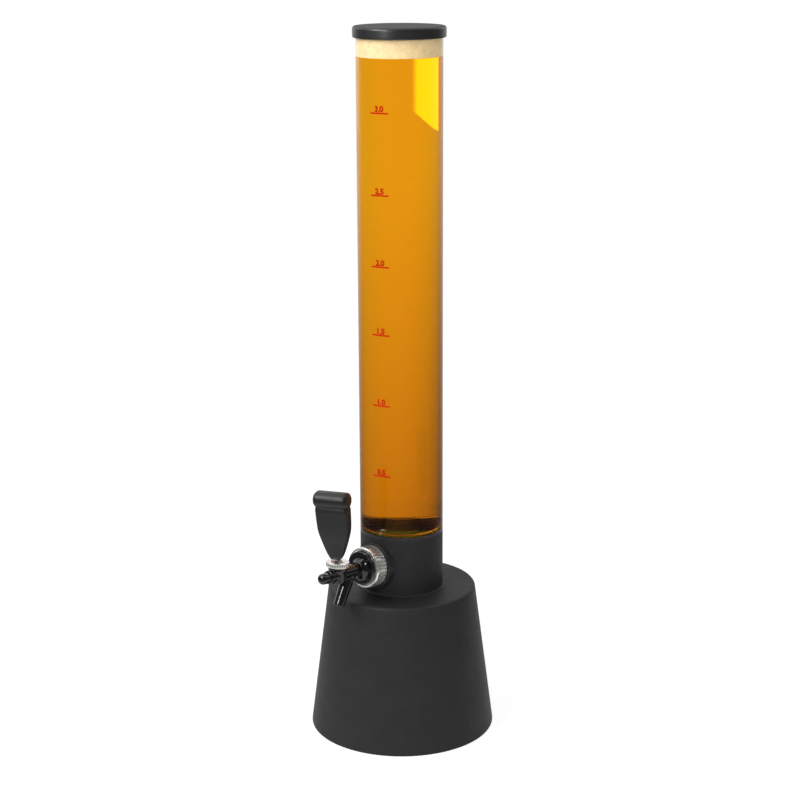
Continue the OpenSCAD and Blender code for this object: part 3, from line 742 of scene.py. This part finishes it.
def clear_plastic(name):
    """Clear plastic of the tube, with faint flow lines along it"""
    material, nodes, links, shader = new_material(name)
    shader.inputs["Base Color"].default_value = (0.985, 0.99, 0.985, 1)
    shader.inputs["Transmission Weight"].default_value = 1.0
    shader.inputs["IOR"].default_value = 1.49
    flow = object_noise(nodes, links, 60, 3, (1, 1, 0.06))
    sheen = ramp_between(nodes, links, flow.outputs["Fac"], grey(0.0), grey(0.02))
    links.new(sheen.outputs["Color"], shader.inputs["Roughness"])
    let_lamps_through(material, nodes, links, shader)
    return material


def drink_liquid(name, top, foot, low, high):
    """Clear amber liquid, darkened towards its foot with painted shade"""
    material, nodes, links, shader = new_material(name)
    # Painted shade: the base colour darkens from the top colour at the drink's surface to the foot
    # colour at the seam
    tint = ramp_between(nodes, links, height_share(nodes, links, low, high), foot, top, 0.0, 0.75)
    links.new(tint.outputs["Color"], shader.inputs["Base Color"])
    shader.inputs["Transmission Weight"].default_value = 1.0
    shader.inputs["Roughness"].default_value = 0.0
    shader.inputs["IOR"].default_value = 1.34
    clear = let_lamps_through(material, nodes, links, shader)
    links.new(tint.outputs["Color"], clear.inputs["Color"])
    absorb = nodes.new("ShaderNodeVolumeAbsorption")
    absorb.inputs["Color"].default_value = (0.98, 0.80, 0.0, 1)
    absorb.inputs["Density"].default_value = 33
    links.new(absorb.outputs["Volume"], nodes["Material Output"].inputs["Volume"])
    return material


def beer_foam(name, colour):
    """Creamy foam of fine bubbles"""
    material, nodes, links, shader = new_material(name)
    cloud = object_noise(nodes, links, 160, 4)
    tint = ramp_between(nodes, links, cloud.outputs["Fac"], *shades(colour, 0.86, 1))
    links.new(tint.outputs["Color"], shader.inputs["Base Color"])
    coordinates = nodes.new("ShaderNodeTexCoord")
    bubbles = nodes.new("ShaderNodeTexVoronoi")
    bubbles.inputs["Scale"].default_value = 900
    links.new(coordinates.outputs["Object"], bubbles.inputs["Vector"])
    add_bump(nodes, links, shader, bubbles.outputs["Distance"], 0.5, 0.3 * MM)
    shader.inputs["Roughness"].default_value = 0.7
    shader.inputs["Subsurface Weight"].default_value = 0.4
    shader.inputs["Subsurface Radius"].default_value = (0.004, 0.003, 0.0018)
    return material


def printed_ink(name, colour):
    """Printed ink, a little uneven"""
    material, nodes, links, shader = new_material(name)
    patch = object_noise(nodes, links, 700, 3)
    tint = ramp_between(nodes, links, patch.outputs["Fac"], *shades(colour, 0.85, 1))
    links.new(tint.outputs["Color"], shader.inputs["Base Color"])
    shader.inputs["Roughness"].default_value = 0.6
    shader.inputs["Specular IOR Level"].default_value = 0.05
    return material


def cast_metal(name, colour):
    """Rough cast iron"""
    material, nodes, links, shader = new_material(name)
    shader.inputs["Metallic"].default_value = 0.7
    cloud = object_noise(nodes, links, 300, 6)
    tint = ramp_between(nodes, links, cloud.outputs["Fac"], *shades(colour, 0.6, 1))
    links.new(tint.outputs["Color"], shader.inputs["Base Color"])
    add_bump(nodes, links, shader, cloud.outputs["Fac"], 0.6, 0.3 * MM)
    shader.inputs["Roughness"].default_value = 0.6
    return material


def arc(centre, radius, start, end, count):
    """Points of an arc in a profile, from the start angle to the end angle in degrees"""
    points = []
    for i in range(count + 1):
        angle = math.radians(start + (end - start) * i / count)
        points.append((centre[0] + radius * math.cos(angle), centre[1] + radius * math.sin(angle)))
    return points


def stepped_cutter(name, chambers, steps=64):
    """A turned cutter through chambers of (radius, start, end) in millimetres"""
    profile = [(0, chambers[0][1])]
    for radius, start, end in chambers:
        profile += [(radius, start), (radius, end)]
    profile.append((0, chambers[-1][2]))
    return turned(name, [(radius * MM, station * MM) for radius, station in profile], steps)


class TOWER_OT_stage(bpy.types.Operator):
    """Sets up the camera, the floor, the lamps and the world"""

    bl_idname = "tower.stage"
    bl_label = "Stage"

    def execute(self, context):
        settings = context.scene.stage_settings
        self.add_camera(context, settings)
        self.add_floor(settings)
        self.add_lamps(context, settings)
        self.add_card(settings)
        self.light_world(context, settings)
        context.scene.view_settings.view_transform = "Standard"
        return {"FINISHED"}

    def add_camera(self, context, settings):
        deselect_all()
        side = settings.distance * math.sin(settings.azimuth)
        ahead = settings.distance * math.cos(settings.azimuth)
        bpy.ops.object.camera_add(location=(side, -ahead, settings.height))
        camera = context.object
        camera.data.lens = settings.lens
        camera.data.sensor_width = 36
        camera.data.clip_end = 50
        camera.data.shift_x = settings.shift
        turn = Matrix.Rotation(settings.azimuth, 3, "Z")
        nod = Matrix.Rotation(math.pi / 2 - settings.pitch, 3, "X")
        camera.rotation_euler = (turn @ nod @ Matrix.Rotation(settings.roll, 3, "Z")).to_euler()
        context.scene.camera = camera

    def add_floor(self, settings):
        """A pale floor that shows white where it is lit, and darker in the tower's shadow"""
        deselect_all()
        bpy.ops.mesh.primitive_plane_add(size=120, location=(0, 0, -0.0002))
        floor = bpy.context.object
        floor.name = "floor"
        material, nodes, links, shader = new_material("pale_floor")
        nodes.remove(shader)
        path = nodes.new("ShaderNodeLightPath")
        seen = path.outputs["Is Camera Ray"]
        tint = nodes.new("ShaderNodeMix")
        tint.data_type = "RGBA"
        tint.inputs[6].default_value = (*settings.floor, 1)
        tint.inputs[7].default_value = (*[c * settings.floor_shade for c in settings.floor], 1)
        links.new(seen, tint.inputs[0])
        matt = nodes.new("ShaderNodeBsdfDiffuse")
        links.new(tint.outputs[2], matt.inputs["Color"])
        glow = nodes.new("ShaderNodeEmission")
        lift = nodes.new("ShaderNodeMath")
        lift.operation = "MULTIPLY"
        lift.inputs[1].default_value = settings.floor_lift
        links.new(seen, lift.inputs[0])
        links.new(lift.outputs[0], glow.inputs["Strength"])
        both = nodes.new("ShaderNodeAddShader")
        links.new(matt.outputs[0], both.inputs[0])
        links.new(glow.outputs[0], both.inputs[1])
        links.new(both.outputs[0], nodes["Material Output"].inputs["Surface"])
        floor.data.materials.append(material)
        floor.visible_glossy = floor.visible_transmission = False
        self.add_near_floor()

    def add_near_floor(self):
        """The lit floor close to the tower, as the metal and the base mirror it"""
        deselect_all()
        bpy.ops.mesh.primitive_circle_add(
            vertices=96, radius=0.7, fill_type="NGON", location=(0, 0, -0.0001)
        )
        disc = bpy.context.object
        disc.name = "near_floor"
        material, nodes, links, shader = new_material("near_floor")
        nodes.remove(shader)
        glow = nodes.new("ShaderNodeEmission")
        glow.inputs["Strength"].default_value = 0.8
        links.new(glow.outputs[0], nodes["Material Output"].inputs["Surface"])
        disc.data.materials.append(material)
        disc.visible_camera = disc.visible_diffuse = disc.visible_transmission = False
        disc.visible_shadow = disc.visible_volume_scatter = False

    def add_card(self, settings):
        """A bright card behind on the left, which the drink shows bent on its right"""
        deselect_all()
        bpy.ops.mesh.primitive_plane_add(size=1, location=(0, 0, 0))
        card = bpy.context.object
        card.name = "bright_card"
        card.scale = (1.65, 2.0, 1)
        bpy.ops.object.transform_apply(location=True, rotation=True, scale=True)
        azimuth = settings.azimuth + math.radians(24)
        foot = Matrix.Translation((0.05, 1.0, 0))
        upright = Matrix.Rotation(math.pi / 2, 4, "X")
        stand = upright @ Matrix.Rotation(math.radians(2), 4, "Z") @ foot
        there = Matrix.Translation((-3 * math.sin(azimuth), 3 * math.cos(azimuth), 0.36))
        place(card, there @ Matrix.Rotation(azimuth, 4, "Z") @ stand)
        material, nodes, links, shader = new_material("bright_card")
        nodes.remove(shader)
        glow = nodes.new("ShaderNodeEmission")
        coordinates = nodes.new("ShaderNodeTexCoord")
        split = nodes.new("ShaderNodeSeparateXYZ")
        fade = nodes.new("ShaderNodeMapRange")
        fade.interpolation_type = "SMOOTHSTEP"
        fade.inputs["From Min"].default_value, fade.inputs["From Max"].default_value = 1.0, 0.86
        fade.inputs["To Min"].default_value, fade.inputs["To Max"].default_value = 1.0, 2.35
        links.new(coordinates.outputs["Generated"], split.inputs["Vector"])
        links.new(split.outputs["X"], fade.inputs["Value"])
        links.new(fade.outputs["Result"], glow.inputs["Strength"])
        links.new(glow.outputs[0], nodes["Material Output"].inputs["Surface"])
        card.data.materials.append(material)
        card.visible_camera = card.visible_diffuse = card.visible_glossy = False
        card.visible_shadow = card.visible_volume_scatter = False

    def add_lamps(self, context, settings):
        """A soft key from high on the left, and strips whose reflections show on the gloss"""
        lamps = (
            ("key", "left", -60, 1.8, 1.7, (0.7, 0.9), 22, True),
            ("strip", "left", -35, 1.9, 1.15, (0.18, 0.4), 8, True),
            ("fill", "front", 22, 1.7, 0.3, (0.9, 0.5), 8, False),
        )
        for name, side, turn, distance, height, size, power, shows in lamps:
            deselect_all()
            azimuth = settings.azimuth + math.radians(turn)
            spot = Vector((distance * math.sin(azimuth), -distance * math.cos(azimuth), height))
            bpy.ops.object.light_add(type="AREA", location=spot)
            lamp = context.object
            lamp.name = f"{side}_{name}"
            lamp.data.shape = "RECTANGLE"
            lamp.data.size, lamp.data.size_y = size
            lamp.data.energy = power
            lamp.visible_glossy = shows
            lamp.visible_transmission = False
            lamp.rotation_euler = (Vector((0, 0, 0.4)) - spot).to_track_quat("-Z", "Y").to_euler()
        deselect_all()
        bpy.ops.object.light_add(type="SUN", location=(0, 0, 3))
        sun = context.object
        sun.name = "even_light"
        sun.data.energy = settings.sun
        sun.data.angle = math.radians(60)
        sun.rotation_euler = (math.radians(20), math.radians(-15), 0)

    def light_world(self, context, settings):
        """White to the camera, a darker front in the gloss, and dark sides through the drink"""
        world = bpy.data.worlds.new("studio")
        context.scene.world = world
        world.use_nodes = True
        nodes, links = world.node_tree.nodes, world.node_tree.links
        background = nodes["Background"]
        background.inputs["Color"].default_value = (1, 1, 1, 1)
        path = nodes.new("ShaderNodeLightPath")
        turn = settings.azimuth
        mirrored = self.facing(nodes, links, turn, 1.0, (0.3, 0.9), (settings.front_glow, 0.9))
        behind = self.facing(nodes, links, turn - math.radians(12), 1.0, (0.0, 0.8), (0.08, 0.93))
        ahead = self.facing(nodes, links, turn + math.radians(168), 1.0, (0.0, 0.8), (0.08, 0.85))
        through = nodes.new("ShaderNodeMath")
        through.operation = "GREATER_THAN"
        through.inputs[1].default_value = NEAR_WALL_BENDS
        links.new(path.outputs["Transmission Depth"], through.inputs[0])
        bent = nodes.new("ShaderNodeMath")
        bent.operation = "MAXIMUM"
        links.new(behind, bent.inputs[0])
        links.new(self.choose(nodes, links, through.outputs[0], 0.0, ahead), bent.inputs[1])
        glossy = self.choose(nodes, links, path.outputs["Is Glossy Ray"], settings.world, mirrored)
        within = self.choose(
            nodes, links, path.outputs["Diffuse Depth"], bent.outputs[0], settings.inner_light
        )
        clear = self.choose(nodes, links, path.outputs["Is Transmission Ray"], glossy, within)
        strength = self.choose(nodes, links, path.outputs["Is Camera Ray"], clear, 1.0)
        links.new(strength, background.inputs["Strength"])

    def facing(self, nodes, links, turn, rise, reach, brightness):
        """Brightness over how far a direction looks along the one at an azimuth"""
        direction = nodes.new("ShaderNodeTexCoord")
        ahead = nodes.new("ShaderNodeVectorMath")
        ahead.operation = "DOT_PRODUCT"
        ahead.inputs[1].default_value = (-math.sin(turn), math.cos(turn), rise)
        links.new(direction.outputs["Generated"], ahead.inputs[0])
        spread = nodes.new("ShaderNodeMapRange")
        spread.interpolation_type = "SMOOTHSTEP"
        spread.inputs["From Min"].default_value, spread.inputs["From Max"].default_value = reach
        spread.inputs["To Min"].default_value, spread.inputs["To Max"].default_value = brightness
        links.new(ahead.outputs["Value"], spread.inputs["Value"])
        return spread.outputs["Result"]

    def choose(self, nodes, links, factor, low, high):
        """One of two strengths, each a number or a socket"""
        mix = nodes.new("ShaderNodeMix")
        mix.data_type = "FLOAT"
        links.new(factor, mix.inputs[0])
        for socket, value in ((mix.inputs[2], low), (mix.inputs[3], high)):
            if isinstance(value, (int, float)):
                socket.default_value = value
            else:
                links.new(value, socket)
        return mix.outputs[0]


class TOWER_OT_base(bpy.types.Operator):
    """Finishes the moulded base"""

    bl_idname = "tower.base"
    bl_label = "Base"

    def execute(self, context):
        colours = context.scene.tower_colours
        paint_nodes(moulded_plastic("base_plastic", colours.base, specular=0.28), "base_shell")
        return {"FINISHED"}


class TOWER_OT_tube(bpy.types.Operator):
    """Models the clear tube with its ledge and spigot"""

    bl_idname = "tower.tube"
    bl_label = "Clear tube"

    def execute(self, context):
        sizes = context.scene.tower_sizes
        bore = sizes.tube_radius - sizes.tube_wall
        spigot_bore = sizes.spigot_radius - sizes.tube_wall
        foot = sizes.seam - sizes.spigot_depth
        ledge = sizes.seam + 3 * MM
        profile = [
            (spigot_bore, foot),
            (sizes.spigot_radius, foot),
            (sizes.spigot_radius, sizes.seam),
            (sizes.tube_radius, sizes.seam),
            (sizes.tube_radius, sizes.rim),
            (bore, sizes.rim),
            (bore, ledge),
            (spigot_bore, ledge),
        ]
        tube = turned("clear_tube_wall", profile, 256, bevel=0.4 * MM, bevel_steps=2)
        smooth(tube)
        finish_piece(tube, "tower", clear_plastic("clear_tube"), ["clear_tube"])
        return {"FINISHED"}


class TOWER_OT_drink(bpy.types.Operator):
    """Fills the tube with the drink and its foam"""

    bl_idname = "tower.drink"
    bl_label = "Drink and foam"

    def execute(self, context):
        sizes, colours = context.scene.tower_sizes, context.scene.tower_colours
        wet = 0.3 * MM
        bore = sizes.tube_radius - sizes.tube_wall
        spigot_bore = sizes.spigot_radius - sizes.tube_wall
        cup_floor = sizes.seam - 12 * MM
        profile = [
            (0, sizes.sump_floor - wet),
            (sizes.sump_radius + wet, sizes.sump_floor - wet),
            (sizes.sump_radius + wet, cup_floor - 4.5 * MM - wet),
            (spigot_bore + wet, cup_floor - wet),
            (spigot_bore + wet, sizes.seam + 3 * MM - wet),
            (bore + wet, sizes.seam + 3 * MM - wet),
            (bore + wet, sizes.drink_level),
            (0, sizes.drink_level),
        ]
        liquid = turned("drink", profile, 256)
        smooth(liquid)
        amber = drink_liquid(
            "drink", colours.drink_top, colours.drink_shaded_foot, sizes.seam, sizes.drink_level
        )
        finish_piece(liquid, "tower", amber)
        self.add_foam(sizes, colours, bore + 0.1 * MM)
        return {"FINISHED"}

    def add_foam(self, sizes, colours, radius):
        """A creamy head with an uneven top"""
        foot, top = sizes.drink_level - 0.3 * MM, sizes.drink_level + sizes.foam_depth
        rings = 24
        profile = [(0, foot), (radius, foot), (radius, top - 0.6 * MM)]
        profile += arc((radius - 0.6 * MM, top - 0.6 * MM), 0.6 * MM, 0, 90, 3)[1:]
        profile += [((radius - 1.2 * MM) * (1 - i / rings), top) for i in range(rings + 1)]
        foam = turned("foam", profile, 160)
        for vertex in foam.data.vertices:
            if vertex.co.z > top - 0.1 * MM:
                reach = math.hypot(vertex.co.x, vertex.co.y) / radius
                lumps = noise.noise(vertex.co * 90) + 0.5 * noise.noise(vertex.co * 260)
                vertex.co.z += (0.6 * lumps - 0.6) * MM * (1 - reach**6)
        smooth(foam, 60)
        finish_piece(foam, "tower", beer_foam("foam", colours.foam))


class TOWER_OT_marks(bpy.types.Operator):
    """Prints the litre marks on the tube"""

    bl_idname = "tower.marks"
    bl_label = "Litre marks"

    def execute(self, context):
        sizes = context.scene.tower_sizes
        ink = printed_ink("red_ink", context.scene.tower_colours.marks)
        marks = []
        for i, height in enumerate(MARK_HEIGHTS, 1):
            marks.append(self.flat_mark(f"{i * 0.5:.1f}", height))
        select_only(*marks)
        bpy.ops.object.join()
        print_on = context.object
        print_on.name = "litre_marks"
        self.wrap(print_on, sizes.tube_radius + 0.01 * MM, sizes.mark_azimuth)
        apply_modifier(print_on, "SOLIDIFY", thickness=0.06 * MM, offset=1, use_even_offset=False)
        finish_piece(print_on, "tower", ink)
        return {"FINISHED"}

    def flat_mark(self, text, level):
        """A number over a line, flat in the XZ plane, with the line at its height"""
        deselect_all()
        bpy.ops.object.text_add(location=(0, 0, 0), rotation=(math.pi / 2, 0, 0))
        number = bpy.context.object
        number.data.body = text
        number.data.align_x = "CENTER"
        number.data.size = 8.6 * MM
        number.data.offset = 0.4 * MM
        number.data.resolution_u = 3
        number.location = (0, 0, level + 1.7 * MM)
        bpy.ops.object.convert(target="MESH")
        number = bpy.context.object
        bpy.ops.object.transform_apply(location=True, rotation=True, scale=True)
        deselect_all()
        bpy.ops.mesh.primitive_plane_add(
            size=1, location=(0, 0, level), rotation=(math.pi / 2, 0, 0)
        )
        line = bpy.context.object
        line.scale = (21.6 * MM, 1.6 * MM, 1)
        bpy.ops.object.transform_apply(location=True, rotation=True, scale=True)
        bpy.ops.object.mode_set(mode="EDIT")
        bpy.ops.mesh.select_all(action="SELECT")
        bpy.ops.mesh.subdivide(number_cuts=12)
        bpy.ops.object.mode_set(mode="OBJECT")
        select_only(line, number)
        bpy.ops.object.join()
        return bpy.context.object

    def wrap(self, piece, radius, azimuth):
        """Bends the flat marks round the tube"""
        for vertex in piece.data.vertices:
            turn = vertex.co.x / radius + azimuth
            vertex.co.x = radius * math.sin(turn)
            vertex.co.y = -radius * math.cos(turn)


class TOWER_OT_lid(bpy.types.Operator):
    """Models the lid with its plug ring"""

    bl_idname = "tower.lid"
    bl_label = "Lid"

    def execute(self, context):
        sizes, colours = context.scene.tower_sizes, context.scene.tower_colours
        bottom = sizes.rim - 8.6 * MM
        top = bottom + sizes.lid_height
        ceiling = sizes.rim + 0.8 * MM
        outer = sizes.lid_radius
        bore = sizes.tube_radius + 0.4 * MM
        plug = sizes.tube_radius - sizes.tube_wall - 0.4 * MM
        foot = ceiling - 9 * MM
        vent = 1.5 * MM
        profile = arc((outer - 1.5 * MM, bottom + 1.5 * MM), 1.5 * MM, -90, 0, 6)
        profile += arc((outer - 3 * MM, top - 3 * MM), 3 * MM, 0, 90, 10)
        profile += [
            (vent, top),
            (vent, ceiling),
            (plug - 2.6 * MM, ceiling),
            (plug - 2.6 * MM, foot),
            (plug, foot),
            (plug, ceiling),
            (bore, ceiling),
            (bore, bottom),
        ]
        lid = turned("lid", profile, 192, bevel=0.25 * MM, bevel_steps=2, bevel_angle=50)
        smooth(lid)
        satin = lid_satin("lid_plastic", colours.lid, top)
        finish_piece(lid, "lid", satin, ["lid_cap"])
        return {"FINISHED"}


class TOWER_OT_tap_body(bpy.types.Operator):
    """Models the tap's casting: collar, barrel, lever block and spout"""

    bl_idname = "tower.tap_body"
    bl_label = "Tap body"

    def execute(self, context):
        tap = context.scene.tap_sizes
        cast = joined("tap_body", self.barrel(tap), self.lever_block(tap), self.spout(tap))
        apply_modifier(cast, "REMESH", mode="VOXEL", voxel_size=0.45 * MM)
        apply_modifier(cast, "SMOOTH", factor=0.5, iterations=14)
        for cutter in (*self.chambers(), self.spout_bore(tap)):
            combine(cast, cutter)
        smooth(cast, 50)
        gloss = gloss_black("tap_gloss", context.scene.tower_colours.tap)
        finish_piece(cast, "tower", gloss, ["faucet_body"])
        finish_piece(self.nose(tap), "tower", gloss, ["nose_cap"])
        return {"FINISHED"}

    def barrel(self, tap):
        """Collar, disc, cone and barrel, solid"""
        collar = tap.nut_radius - 2.3 * MM
        disc = tap.nut_radius - 4.1 * MM
        flare = tap.barrel_radius + 5 * MM
        disc_front = tap.nut_front + tap.disc_rise + 0.2 * MM
        profile = [
            (0, 10 * MM),
            (collar, 10 * MM),
            (collar, tap.nut_front - 2.1 * MM),
            (disc, tap.nut_front - 2.1 * MM),
            (disc, disc_front),
            (flare, disc_front),
            (tap.barrel_radius + 2.2 * MM, disc_front + 2 * MM),
            (tap.barrel_radius + 0.5 * MM, disc_front + 3.8 * MM),
            (tap.barrel_radius, disc_front + 5.2 * MM),
            (tap.barrel_radius, tap.barrel_end),
            (0, tap.barrel_end),
        ]
        piece = turned("barrel", profile, 128)
        place(piece, on_tap())
        return piece

    def lever_block(self, tap):
        """Upright block that carries the lever, solid"""
        profile = [
            (0, -8.1 * MM),
            (8.0 * MM, -8.1 * MM),
            (9.1 * MM, -7.6 * MM),
            (9.5 * MM, -6.5 * MM),
            (9.5 * MM, 4 * MM),
            (10.5 * MM, 6 * MM),
            (10.5 * MM, 14.1 * MM),
            (0, 14.1 * MM),
        ]
        piece = turned("lever_block", profile, 96)
        place(piece, over_pivot())
        return piece

    def spout(self, tap):
        """Spout, solid, narrower towards its mouth"""
        end = tap.spout_length
        profile = [
            (0, 0),
            (tap.spout_radius, 0),
            (tap.mouth_radius, end),
            (0, end),
        ]
        piece = turned("spout", profile, 96)
        place(piece, on_spout())
        return piece

    def chambers(self):
        """The chambers along the barrel and under the lever, as cutters"""
        barrel = stepped_cutter("barrel_bores", BARREL_CHAMBERS)
        place(barrel, on_tap())
        socket = stepped_cutter("lever_socket", LEVER_CHAMBERS)
        place(socket, over_pivot())
        return barrel, socket

    def spout_bore(self, tap):
        """The spout's bore with a chamfered mouth, as a cutter"""
        end = tap.spout_length
        profile = [
            (0, 6.5 * MM),
            (tap.spout_bore, 6.5 * MM),
            (tap.spout_bore, end - 0.9 * MM),
            (tap.spout_bore + 1.2 * MM, end + 0.3 * MM),
            (tap.spout_bore + 1.2 * MM, end + 2 * MM),
            (0, end + 2 * MM),
        ]
        cutter = turned("spout_bore", profile, 64)
        place(cutter, on_spout())
        return cutter

    def nose(self, tap):
        """Rounded plug at the barrel's front"""
        r, end = tap.nose_radius, tap.barrel_end + tap.nose_length
        profile = [
            (3.3 * MM, tap.barrel_end - 7.9 * MM),
            (5.6 * MM, tap.barrel_end - 7.9 * MM),
            (5.6 * MM, tap.barrel_end + 0.1 * MM),
            (r - 0.3 * MM, tap.barrel_end + 0.1 * MM),
            (r, tap.barrel_end + 0.4 * MM),
        ]
        profile += arc((r - 5 * MM, end - 5 * MM), 5 * MM, 0, 90, 12)
        profile += [(0, end), (0, end - 3.5 * MM), (3.3 * MM, end - 3.5 * MM)]
        piece = turned("nose_plug", profile, 96)
        place(piece, on_tap())
        smooth(piece)
        return piece


class TOWER_OT_metal(bpy.types.Operator):
    """Models the fluted coupling nut and the knurled bonnet"""

    bl_idname = "tower.metal"
    bl_label = "Bright metal"

    flutes: bpy.props.IntProperty(
        name="Flutes", description="Flutes round the coupling nut", default=36
    )
    knurls: bpy.props.IntProperty(name="Knurls", description="Knurls round the bonnet", default=30)

    def execute(self, context):
        tap = context.scene.tap_sizes
        # Metallic 0.8 adds a pale diffuse share to the plating: painted sheen that keeps the nuts
        # bright whatever they mirror
        chrome = plated_metal("chrome", context.scene.tower_colours.chrome, metallic=0.8)
        finish_piece(self.coupling_nut(tap), "tower", chrome, ["coupling_nut"])
        finish_piece(self.bonnet(tap), "tower", chrome, ["bonnet"])
        return {"FINISHED"}

    def coupling_nut(self, tap):
        """The nut that pulls the tap against the neck"""
        r, front, back = tap.nut_radius, tap.nut_front, tap.saddle + 0.1 * MM
        profile = [
            (r - 2 * MM, back),
            (r - 1 * MM, back),
            (r, back + 1 * MM),
            (r, front - 1.2 * MM),
            (r - 1.2 * MM, front),
            (r - 3.8 * MM, front),
            (r - 3.8 * MM, front - 2 * MM),
            (r - 2 * MM, front - 2 * MM),
        ]
        nut = turned("nut", profile, 192)
        self.flute(nut, self.flutes, 1.1 * MM, r + 0.75 * MM, back + 2 * MM, front - 2.4 * MM)
        bevel_edges(nut, 0.22 * MM, 2, 28)
        place(nut, on_tap())
        smooth(nut, 30)
        return nut

    def bonnet(self, tap):
        """The nut that holds the lever's ball down"""
        r, foot, top = tap.bonnet_radius, tap.bonnet_foot, tap.bonnet_top
        ceiling = top - 1.5 * MM
        profile = [
            (10.5 * MM, foot),
            (r, foot),
            (r, top - 0.7 * MM),
            (r - 0.7 * MM, top),
            (7.8 * MM, top),
            (6.6 * MM, ceiling),
            (10.5 * MM, ceiling),
        ]
        piece = turned("bonnet_nut", profile, 180)
        self.flute(piece, self.knurls, 0.9 * MM, r + 0.4 * MM, foot + 0.9 * MM, top + 1 * MM)
        bevel_edges(piece, 0.15 * MM, 2, 28)
        place(piece, over_pivot())
        smooth(piece, 30)
        return piece

    def flute(self, piece, count, radius, reach, low, high):
        """Cuts round flutes into a turned piece"""
        deselect_all()
        bpy.ops.mesh.primitive_cylinder_add(
            vertices=24, radius=radius, depth=high - low, location=(reach, 0, (low + high) / 2)
        )
        bpy.ops.object.transform_apply(location=True, rotation=True, scale=True)
        cutter = bpy.context.object
        cutter.name = "flutes"
        combine(piece, ringed(cutter, count))


class TOWER_OT_handle(bpy.types.Operator):
    """Models the lever's handle with its rolled cap"""

    bl_idname = "tower.handle"
    bl_label = "Handle"

    cap_height: bpy.props.FloatProperty(
        name="Cap height", description="Height of the rolled cap", default=0.018, unit="LENGTH"
    )
    cap_depth: bpy.props.FloatProperty(
        name="Cap depth", description="Depth of the rolled cap", default=0.0205, unit="LENGTH"
    )

    def execute(self, context):
        tap = context.scene.tap_sizes
        foot, tall = tap.handle_start, tap.handle_height
        wide, deep = tap.handle_width, tap.handle_depth
        shares = smooth_steps(HANDLE_SECTIONS, 4) + list(HANDLE_LEDGE)
        sections = [(foot + z * tall, w * wide, d * deep) for z, w, d in shares]
        grip = lofted("handle", sections, 2.8 * MM)
        bevel_edges(grip, 0.5 * MM, 2, 60)
        turned_lever = on_lever() @ Matrix.Rotation(tap.handle_turn, 4, "Z")
        place(grip, turned_lever)
        half = wide / 2
        ends = [(side * half, self.cap_height, self.cap_depth) for side in (-1, 1)]
        cap = lofted("cap", ends, 8.6 * MM, 10)
        bevel_edges(cap, 4.5 * MM, 6, 60)
        middle = Matrix.Translation((0, 0, foot + tall - self.cap_height / 2))
        place(cap, turned_lever @ middle @ Matrix.Rotation(math.pi / 2, 4, "Y"))
        combine(grip, cap, "UNION")
        hole = stepped_cutter("hole", [(4.65, foot / MM - 1, foot / MM + 19.1)], 48)
        place(hole, on_lever())
        combine(grip, hole)
        smooth(grip, 35)
        colour = context.scene.tower_colours.handle
        satin = moulded_plastic("handle_black", colour, (0.34, 0.44), 2000, 0.02 * MM)
        finish_piece(grip, "lever", satin, ["tap_handle"])
        return {"FINISHED"}


class TOWER_OT_inner_parts(bpy.types.Operator):
    """Gives every inner piece its finish"""

    bl_idname = "tower.inner_parts"
    bl_label = "Inner parts"

    def execute(self, context):
        sizes, colours = context.scene.tower_sizes, context.scene.tower_colours
        finishes = {
            "steel": plated_metal("turned_steel", (0.52, 0.52, 0.54), (0.2, 0.32), (1, 1, 8)),
            "screw_steel": plated_metal("zinc_plate", (0.42, 0.42, 0.44), (0.3, 0.45)),
            "brass": plated_metal("turned_brass", (0.69, 0.50, 0.24), (0.2, 0.32)),
            "iron": cast_metal("cast_iron", (0.10, 0.10, 0.105)),
            "rubber": soft_rubber("black_rubber"),
            "hidden_plastic": moulded_plastic("plain_plastic", colours.base, (0.35, 0.5)),
            "cup_plastic": cup_plastic(
                "cup_plastic", colours.base, colours.cup, sizes.spigot_radius
            ),
            "seat_plastic": moulded_plastic("seat_plastic", (0.72, 0.70, 0.64), (0.4, 0.5)),
        }
        for part in frame["record"]["subparts"]:
            if part["material_slot"] in finishes:
                paint_nodes(finishes[part["material_slot"]], part["node"])
        return {"FINISHED"}


class TOWER_PT_looks(bpy.types.Panel):
    """Steps that build the tower's looks"""

    bl_idname = "TOWER_PT_looks"
    bl_label = "Drink tower"
    bl_space_type = "VIEW_3D"
    bl_region_type = "UI"
    bl_category = "Tower"

    def draw(self, context):
        for step in STEPS:
            self.layout.operator(step.bl_idname)


GROUPS = {
    "tower_sizes": TowerSizes,
    "tap_sizes": TapSizes,
    "tower_colours": TowerColours,
    "stage_settings": StageSettings,
}
STEPS = (
    TOWER_OT_stage,
    TOWER_OT_base,
    TOWER_OT_tube,
    TOWER_OT_drink,
    TOWER_OT_marks,
    TOWER_OT_lid,
    TOWER_OT_tap_body,
    TOWER_OT_metal,
    TOWER_OT_handle,
    TOWER_OT_inner_parts,
)


def register():
    for group in GROUPS.values():
        bpy.utils.register_class(group)
    for name, group in GROUPS.items():
        setattr(bpy.types.Scene, name, bpy.props.PointerProperty(type=group))
    for step in STEPS:
        bpy.utils.register_class(step)
    bpy.utils.register_class(TOWER_PT_looks)


def unregister():
    bpy.utils.unregister_class(TOWER_PT_looks)
    for step in reversed(STEPS):
        bpy.utils.unregister_class(step)
    for name, group in GROUPS.items():
        delattr(bpy.types.Scene, name)
        bpy.utils.unregister_class(group)


def main():
    register()
    bpy.ops.tower.stage()
    bpy.ops.tower.base()
    bpy.ops.tower.tube()
    bpy.ops.tower.drink()
    bpy.ops.tower.marks()
    bpy.ops.tower.lid()
    bpy.ops.tower.tap_body()
    bpy.ops.tower.metal()
    bpy.ops.tower.handle()
    bpy.ops.tower.inner_parts()


if __name__ == "__main__":
    main()
